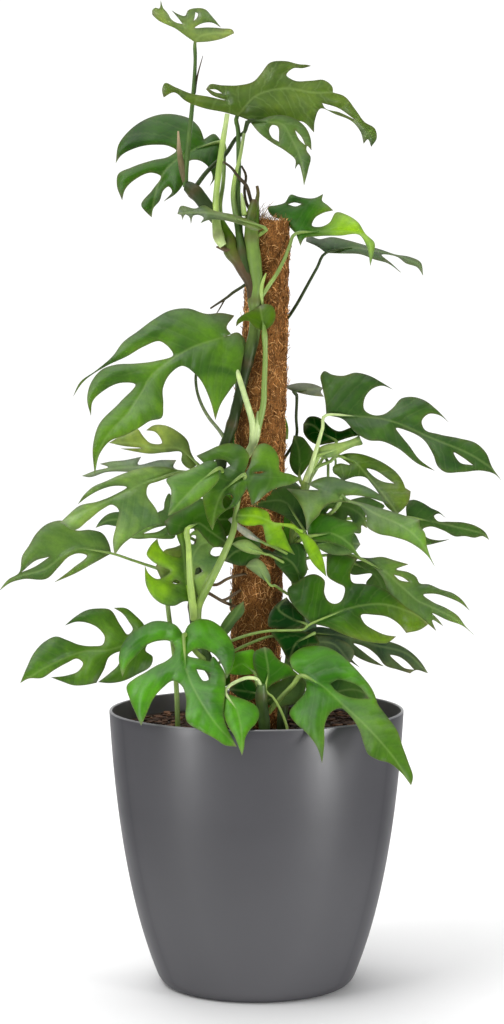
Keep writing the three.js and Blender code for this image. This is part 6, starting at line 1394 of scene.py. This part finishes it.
def make_pole():
    build = Builder()
    rows = np.arange(SOIL_LEVEL - 4, POLE_TOP.z, CORE_ROW)
    points = [pole_point(angle, z, core_radius(angle, z)) for z in rows for angle in turns_of(CORE_AROUND)]
    build.add(points, tube_faces(len(rows), CORE_AROUND), CORE_COLOUR)
    for _ in range(STRANDS):
        add_strand(build)
    for _ in range(FRAYS):
        add_fray(build)
    build.finish("dressed_coir_pole", "coir_pole", [COIR_LOOK])


# Fibres that lie on the core, a few of which stray away from it
STRANDS = 6000
STRAY_SHARE = 0.1
STRAY_LIFT = 1.3
STRAND_STEPS = 5
STRAND_LENGTH = (5, 15)
STRAND_LEAN = 0.9
STRAND_WANDER = 0.35
STRAND_SINK = 0.15
STRAND_LOOSE = 0.8
STRAND_PROUD = 0.4
STRAND_RADIUS = 0.36
STRAND_END_RADIUS = 0.18
STRAND_DARK = np.array([0.17, 0.075, 0.024])
STRAND_PALE = np.array([1.0, 0.6, 0.27])
FIBRE_SIDES = 3


def add_fibre(build, line, tint):
    add_tube(build, np.array(line), np.tile(tint, (len(line), 1)), sides=FIBRE_SIDES, slot=0)


def add_strand(build):
    """A fibre that wanders over the core."""
    angle = random.uniform(0, 2 * math.pi)
    z = random.uniform(SOIL_LEVEL - 2, POLE_TOP.z - 2)
    heading = random.gauss(0, STRAND_LEAN)
    stray = random.random() < STRAY_SHARE
    stride = random.uniform(*STRAND_LENGTH) / STRAND_STEPS
    lift = 0.0
    line = []
    pale = random.random() ** 1.5
    for i in range(STRAND_STEPS):
        shell = core_radius(angle, z) + STRAND_SINK + random.uniform(0, STRAND_LOOSE) + lift
        if not stray:
            shell = min(shell, POLE_RADIUS - drawn_in(z) + STRAND_PROUD)
        radius = STRAND_END_RADIUS if i in (0, STRAND_STEPS - 1) else STRAND_RADIUS
        line.append((*pole_point(angle, min(z, POLE_TOP.z), shell), radius))
        heading += random.gauss(0, STRAND_WANDER)
        angle += stride * math.sin(heading) / POLE_RADIUS
        z += stride * math.cos(heading)
        lift += random.uniform(0, STRAY_LIFT) if stray else 0
    add_fibre(build, line, STRAND_DARK * (1 - pale) + STRAND_PALE * pale)


# Loose ends at the cut top, longer on the left as the photograph shows them
FRAYS = 150
FRAY_LENGTH = (3, 9)
FRAY_LONGER = 2.4
FRAY_LEAN = 0.35
FRAY_CURL = 0.3
FRAY_TAPER = 0.6
FRAY_RADIUS = 0.34
FRAY_DARK = np.array([0.16, 0.09, 0.035])
FRAY_RANGE = np.array([0.3, 0.2, 0.1])


def add_fray(build):
    """A loose end of fibre that stands up from the cut top of the sleeve."""
    angle = random.uniform(0, 2 * math.pi)
    radius = (POLE_RADIUS - DRAWN_IN - 1) * math.sqrt(random.random())
    foot = pole_point(angle, POLE_TOP.z - 3, radius)
    length = random.uniform(*FRAY_LENGTH) * (FRAY_LONGER if foot[0] < POLE_TOP.x else 1)
    lean = np.array([random.gauss(0, FRAY_LEAN), random.gauss(0, FRAY_LEAN), 1.0])
    curl = np.array([random.gauss(0, FRAY_CURL), random.gauss(0, FRAY_CURL), 0])
    line = [(*(foot + lean * length * t + curl * length * t * t), FRAY_RADIUS * (1 - FRAY_TAPER * t))
            for t in (0, 0.33, 0.67, 1)]
    add_fibre(build, line, FRAY_DARK + random.random() * FRAY_RANGE)


# Only the top of the stake is made: the sleeve hides the rest
STAKE_SHOWN = 30.0
STAKE_STEPS = 16
STAKE_SIDES = 14


def make_stake():
    build = Builder()
    lean = (POLE_TOP - POLE_LOW).normalized()
    line = []
    for i in range(STAKE_STEPS):
        spot = POLE_TOP + lean * (STAKE_PROUD - STAKE_SHOWN * (1 - i / (STAKE_STEPS - 1)))
        line.append((*spot, STAKE_RADIUS * (0.96 + 0.04 * noise.noise(Vector((i * 0.9, 4, 1))))))
    add_tube(build, np.array(line), np.tile(NO_TINT, (STAKE_STEPS, 1)), sides=STAKE_SIDES, slot=0)
    build.finish("dressed_stake", "pole_stake", [WOOD_LOOK])


# The planter and its soil

def lathe(profile, around):
    """Turns a profile of (radius, height) about the upright axis. It starts and ends on the axis."""
    inner = profile[1:-1]
    points = [(0, 0, profile[0][1])]
    for radius, z in inner:
        points.extend((radius * math.cos(angle), radius * math.sin(angle), z) for angle in turns_of(around))
    points.append((0, 0, profile[-1][1]))
    faces = []
    for s in range(around):
        following = (s + 1) % around
        faces.append((0, 1 + following, 1 + s))
        for i in range(len(inner) - 1):
            a, b = 1 + i * around + s, 1 + i * around + following
            faces.append((a, b, b + around, a + around))
        last = 1 + (len(inner) - 1) * around
        faces.append((len(points) - 1, last + s, last + following))
    return points, faces


POT_AROUND = 160
WALL_STEPS = 40
ROUND_STEPS = 12
RIM_ROUND = 1.5
MIDDLE = 60.0


def make_pot():
    wall = bowed_line(HEEL, BELLY, (RIM_RADIUS, POT_HEIGHT - RIM_ROUND), WALL_STEPS)
    heel = bowed_line((FOOT_RADIUS, 0), (FOOT_RADIUS + HEEL_FLAT, 0), HEEL, ROUND_STEPS)
    radius, z = RIM_RADIUS - RIM_ROUND, POT_HEIGHT - RIM_ROUND
    rim = [(radius + RIM_ROUND * math.cos(a), z + RIM_ROUND * math.sin(a))
           for a in np.linspace(0, math.pi, ROUND_STEPS)[1:-1]]
    inside_wall = [(outer - POT_WALL, height) for outer, height in wall[::-1]]
    under = [(0, 0), (MIDDLE, 0), (FOOT_RADIUS - 2, 0)]
    floor = [(HEEL[0] - POT_WALL - 5, POT_FLOOR), (MIDDLE, POT_FLOOR), (0, POT_FLOOR)]
    points, faces = lathe([*under, *heel, *wall[1:], *rim, *inside_wall, *floor], POT_AROUND)
    # The rim, the inside and the depth below the rim place the painted highlight and painted light.
    on_rim = [float(z > POT_HEIGHT - RIM_ROUND) for x, y, z in points]
    painted_light_inside = [float(math.hypot(x, y) < RIM_RADIUS - 2 and z > SOIL_LEVEL - 6) for x, y, z in points]
    depth = [1 - z / POT_HEIGHT for x, y, z in points]
    build = Builder()
    build.add(points, faces, NO_TINT, vein=on_rim, under=painted_light_inside, side=depth)
    build.finish("dressed_pot", "pot", [POT_LOOK])


CHIPS = 1500
SOIL_RADIUS = 142.6
SOIL_DEPTH = 14.0
SOIL_RINGS = 60
SOIL_AROUND = 120
SOIL_LUMP = 1.6
SOIL_SCALE = 0.06
SOIL_NOISE = (0.9, 2.0, 4)
SOIL_COLOUR = (0.05, 0.032, 0.022)


def soil_height(x, y):
    return SOIL_LEVEL - 1.0 + SOIL_LUMP * noise.fractal(Vector((x, y, 0)) * SOIL_SCALE, *SOIL_NOISE)


def make_soil():
    build = Builder()
    profile = [(0, SOIL_LEVEL - SOIL_DEPTH), (SOIL_RADIUS - 4, SOIL_LEVEL - SOIL_DEPTH)]
    profile += [(SOIL_RADIUS * (1 - i / SOIL_RINGS), SOIL_LEVEL) for i in range(SOIL_RINGS + 1)]
    points, faces = lathe(profile, SOIL_AROUND)
    points = [(x, y, soil_height(x, y) if z > SOIL_LEVEL - 1 else z) for x, y, z in points]
    build.add(points, faces, SOIL_COLOUR)
    for _ in range(CHIPS):
        add_chip(build)
    build.finish("dressed_soil", "soil", [SOIL_LOOK])


CHIP_SIZE = (1.2, 3.6)
BIG_CHIP = 1.5
BIG_CHIP_SHARE = 0.12
CHIP_LONG = 1.3
CHIP_WIDE = 0.8
CHIP_SUNK = 0.8
CHIP_FACES = [(0, 2, 3, 1), (4, 5, 7, 6), (0, 1, 5, 4), (2, 6, 7, 3), (0, 4, 6, 2), (1, 3, 7, 5)]
CHIP_DARK = np.array([0.03, 0.018, 0.012])
CHIP_PALE = np.array([0.2, 0.1, 0.055])


def add_chip(build):
    """A crumb of bark: a squashed, uneven eight-cornered lump, part sunk in the soil."""
    radius = (SOIL_RADIUS - 6) * math.sqrt(random.random())
    angle = random.uniform(0, 2 * math.pi)
    x, y = radius * math.cos(angle), radius * math.sin(angle)
    size = random.uniform(*CHIP_SIZE) * (BIG_CHIP if random.random() < BIG_CHIP_SHARE else 1)
    turn = random.uniform(0, 2 * math.pi)
    points = []
    for k in range(8):
        reach = size * random.uniform(0.75, 1.15)
        u = reach * (1 if k & 1 else -1) * CHIP_LONG
        v = reach * (1 if k & 2 else -1) * CHIP_WIDE
        w = size * random.uniform(0.4, 0.8) * (1 if k & 4 else -1)
        points.append((x + u * math.cos(turn) - v * math.sin(turn),
                       y + u * math.sin(turn) + v * math.cos(turn),
                       soil_height(x, y) + w * CHIP_SUNK))
    pale = random.random() ** 2
    build.add(points, CHIP_FACES, CHIP_DARK * (1 - pale) + CHIP_PALE * pale)


# Floor, light and camera, in metres

FLOOR_EDGE = 2.2
CARD_WIDTH = 12.0
CARD_TOP = 7.0
SWEEP = 1.4
SWEEP_STEPS = 17
SHEET_WHITES = ((0.94, 0.94, 0.94), (0.97, 0.97, 0.97))


def stage_sheet(name, width, outline):
    """A sheet across the set, given as (depth, height) points from front to back."""
    points = [(x, y, z) for x in (-width / 2, width / 2) for y, z in outline]
    half = len(outline)
    mesh = bpy.data.meshes.new(name)
    mesh.from_pydata(points, [], [(i, half + i, half + i + 1, i + 1) for i in range(half - 1)])
    mesh.polygons.foreach_set("use_smooth", [True] * len(mesh.polygons))
    look = Look("pale " + name, 0.9, Specular_IOR_Level=0.1)
    mesh.materials.append(look.paint(look.mix(look.noise(3, 2), *SHEET_WHITES)))
    sheet = bpy.data.objects.new(name, mesh)
    bpy.context.scene.collection.objects.link(sheet)
    return sheet


def make_stage():
    """A flat floor, and a white card behind it that lights the plant but doesn't show."""
    stage_sheet("floor", 2 * FLOOR_EDGE, [(-FLOOR_EDGE, 0), (FLOOR_EDGE, 0)])
    bend = [(FLOOR_EDGE + SWEEP * math.sin(a), SWEEP - SWEEP * math.cos(a))
            for a in np.linspace(0, math.pi / 2, SWEEP_STEPS)]
    card = stage_sheet("card", CARD_WIDTH, bend + [(FLOOR_EDGE + SWEEP, CARD_TOP)])
    card.visible_camera = False


# Each area light's place, target, size and power in watts
LIGHTS = {
    "key light": ((-1.5, -1.3, 2.5), (0, 0, 0.5), (1.5, 1.5), 33),
    "left strip": ((-1.0, -0.82, 0.2), (0, 0, 0.2), (0.22, 0.4), 4.3),
    "right strip": ((1.0, -0.82, 0.2), (0, 0, 0.2), (0.22, 0.4), 9.2),
    "top light": ((-0.3, 0.1, 2.7), (0, 0, 0.5), (1.8, 1.8), 30),
    "backdrop light": ((0, 1.3, 2.6), (0, 3.2, 0.8), (3.2, 1.0), 60),
}

# The white world is dim as a light and plain white where the camera sees it
WORLD_LIGHT = 0.34
WORLD_SEEN = 1.1


def make_light():
    for name, (place, target, size, power) in LIGHTS.items():
        light = bpy.data.lights.new(name, "AREA")
        light.shape = "RECTANGLE"
        light.size, light.size_y = size
        light.energy = power
        lamp = bpy.data.objects.new(name, light)
        lamp.location = place
        lamp.rotation_euler = (Vector(target) - Vector(place)).to_track_quat("-Z", "Y").to_euler()
        bpy.context.scene.collection.objects.link(lamp)
    world = bpy.data.worlds.new("studio")
    world.use_nodes = True
    tree = world.node_tree
    background = tree.nodes["Background"]
    background.inputs["Color"].default_value = (1, 1, 1, 1)
    camera_ray = tree.nodes.new("ShaderNodeLightPath").outputs["Is Camera Ray"]
    strength = tree.nodes.new("ShaderNodeMapRange")
    strength.inputs["To Min"].default_value = WORLD_LIGHT
    strength.inputs["To Max"].default_value = WORLD_SEEN
    tree.links.new(camera_ray, strength.inputs["Value"])
    tree.links.new(strength.outputs["Result"], background.inputs["Strength"])
    bpy.context.scene.world = world


def make_camera():
    camera = bpy.data.cameras.new("camera")
    camera.sensor_fit = "VERTICAL"
    camera.sensor_height = SENSOR_HEIGHT
    camera.lens = LENS
    holder = bpy.data.objects.new("camera", camera)
    holder.location = Vector(EYE) * MM
    holder.rotation_euler = (math.pi / 2 - PITCH_DOWN, 0, 0)
    bpy.context.scene.collection.objects.link(holder)
    bpy.context.scene.camera = holder
    bpy.context.scene.view_settings.view_transform = "Standard"


make_camera()
make_pot()
make_soil()
make_pole()
make_stake()
make_vines()
make_leaves()
make_stage()
make_light()

bpy.context.view_layer.update()
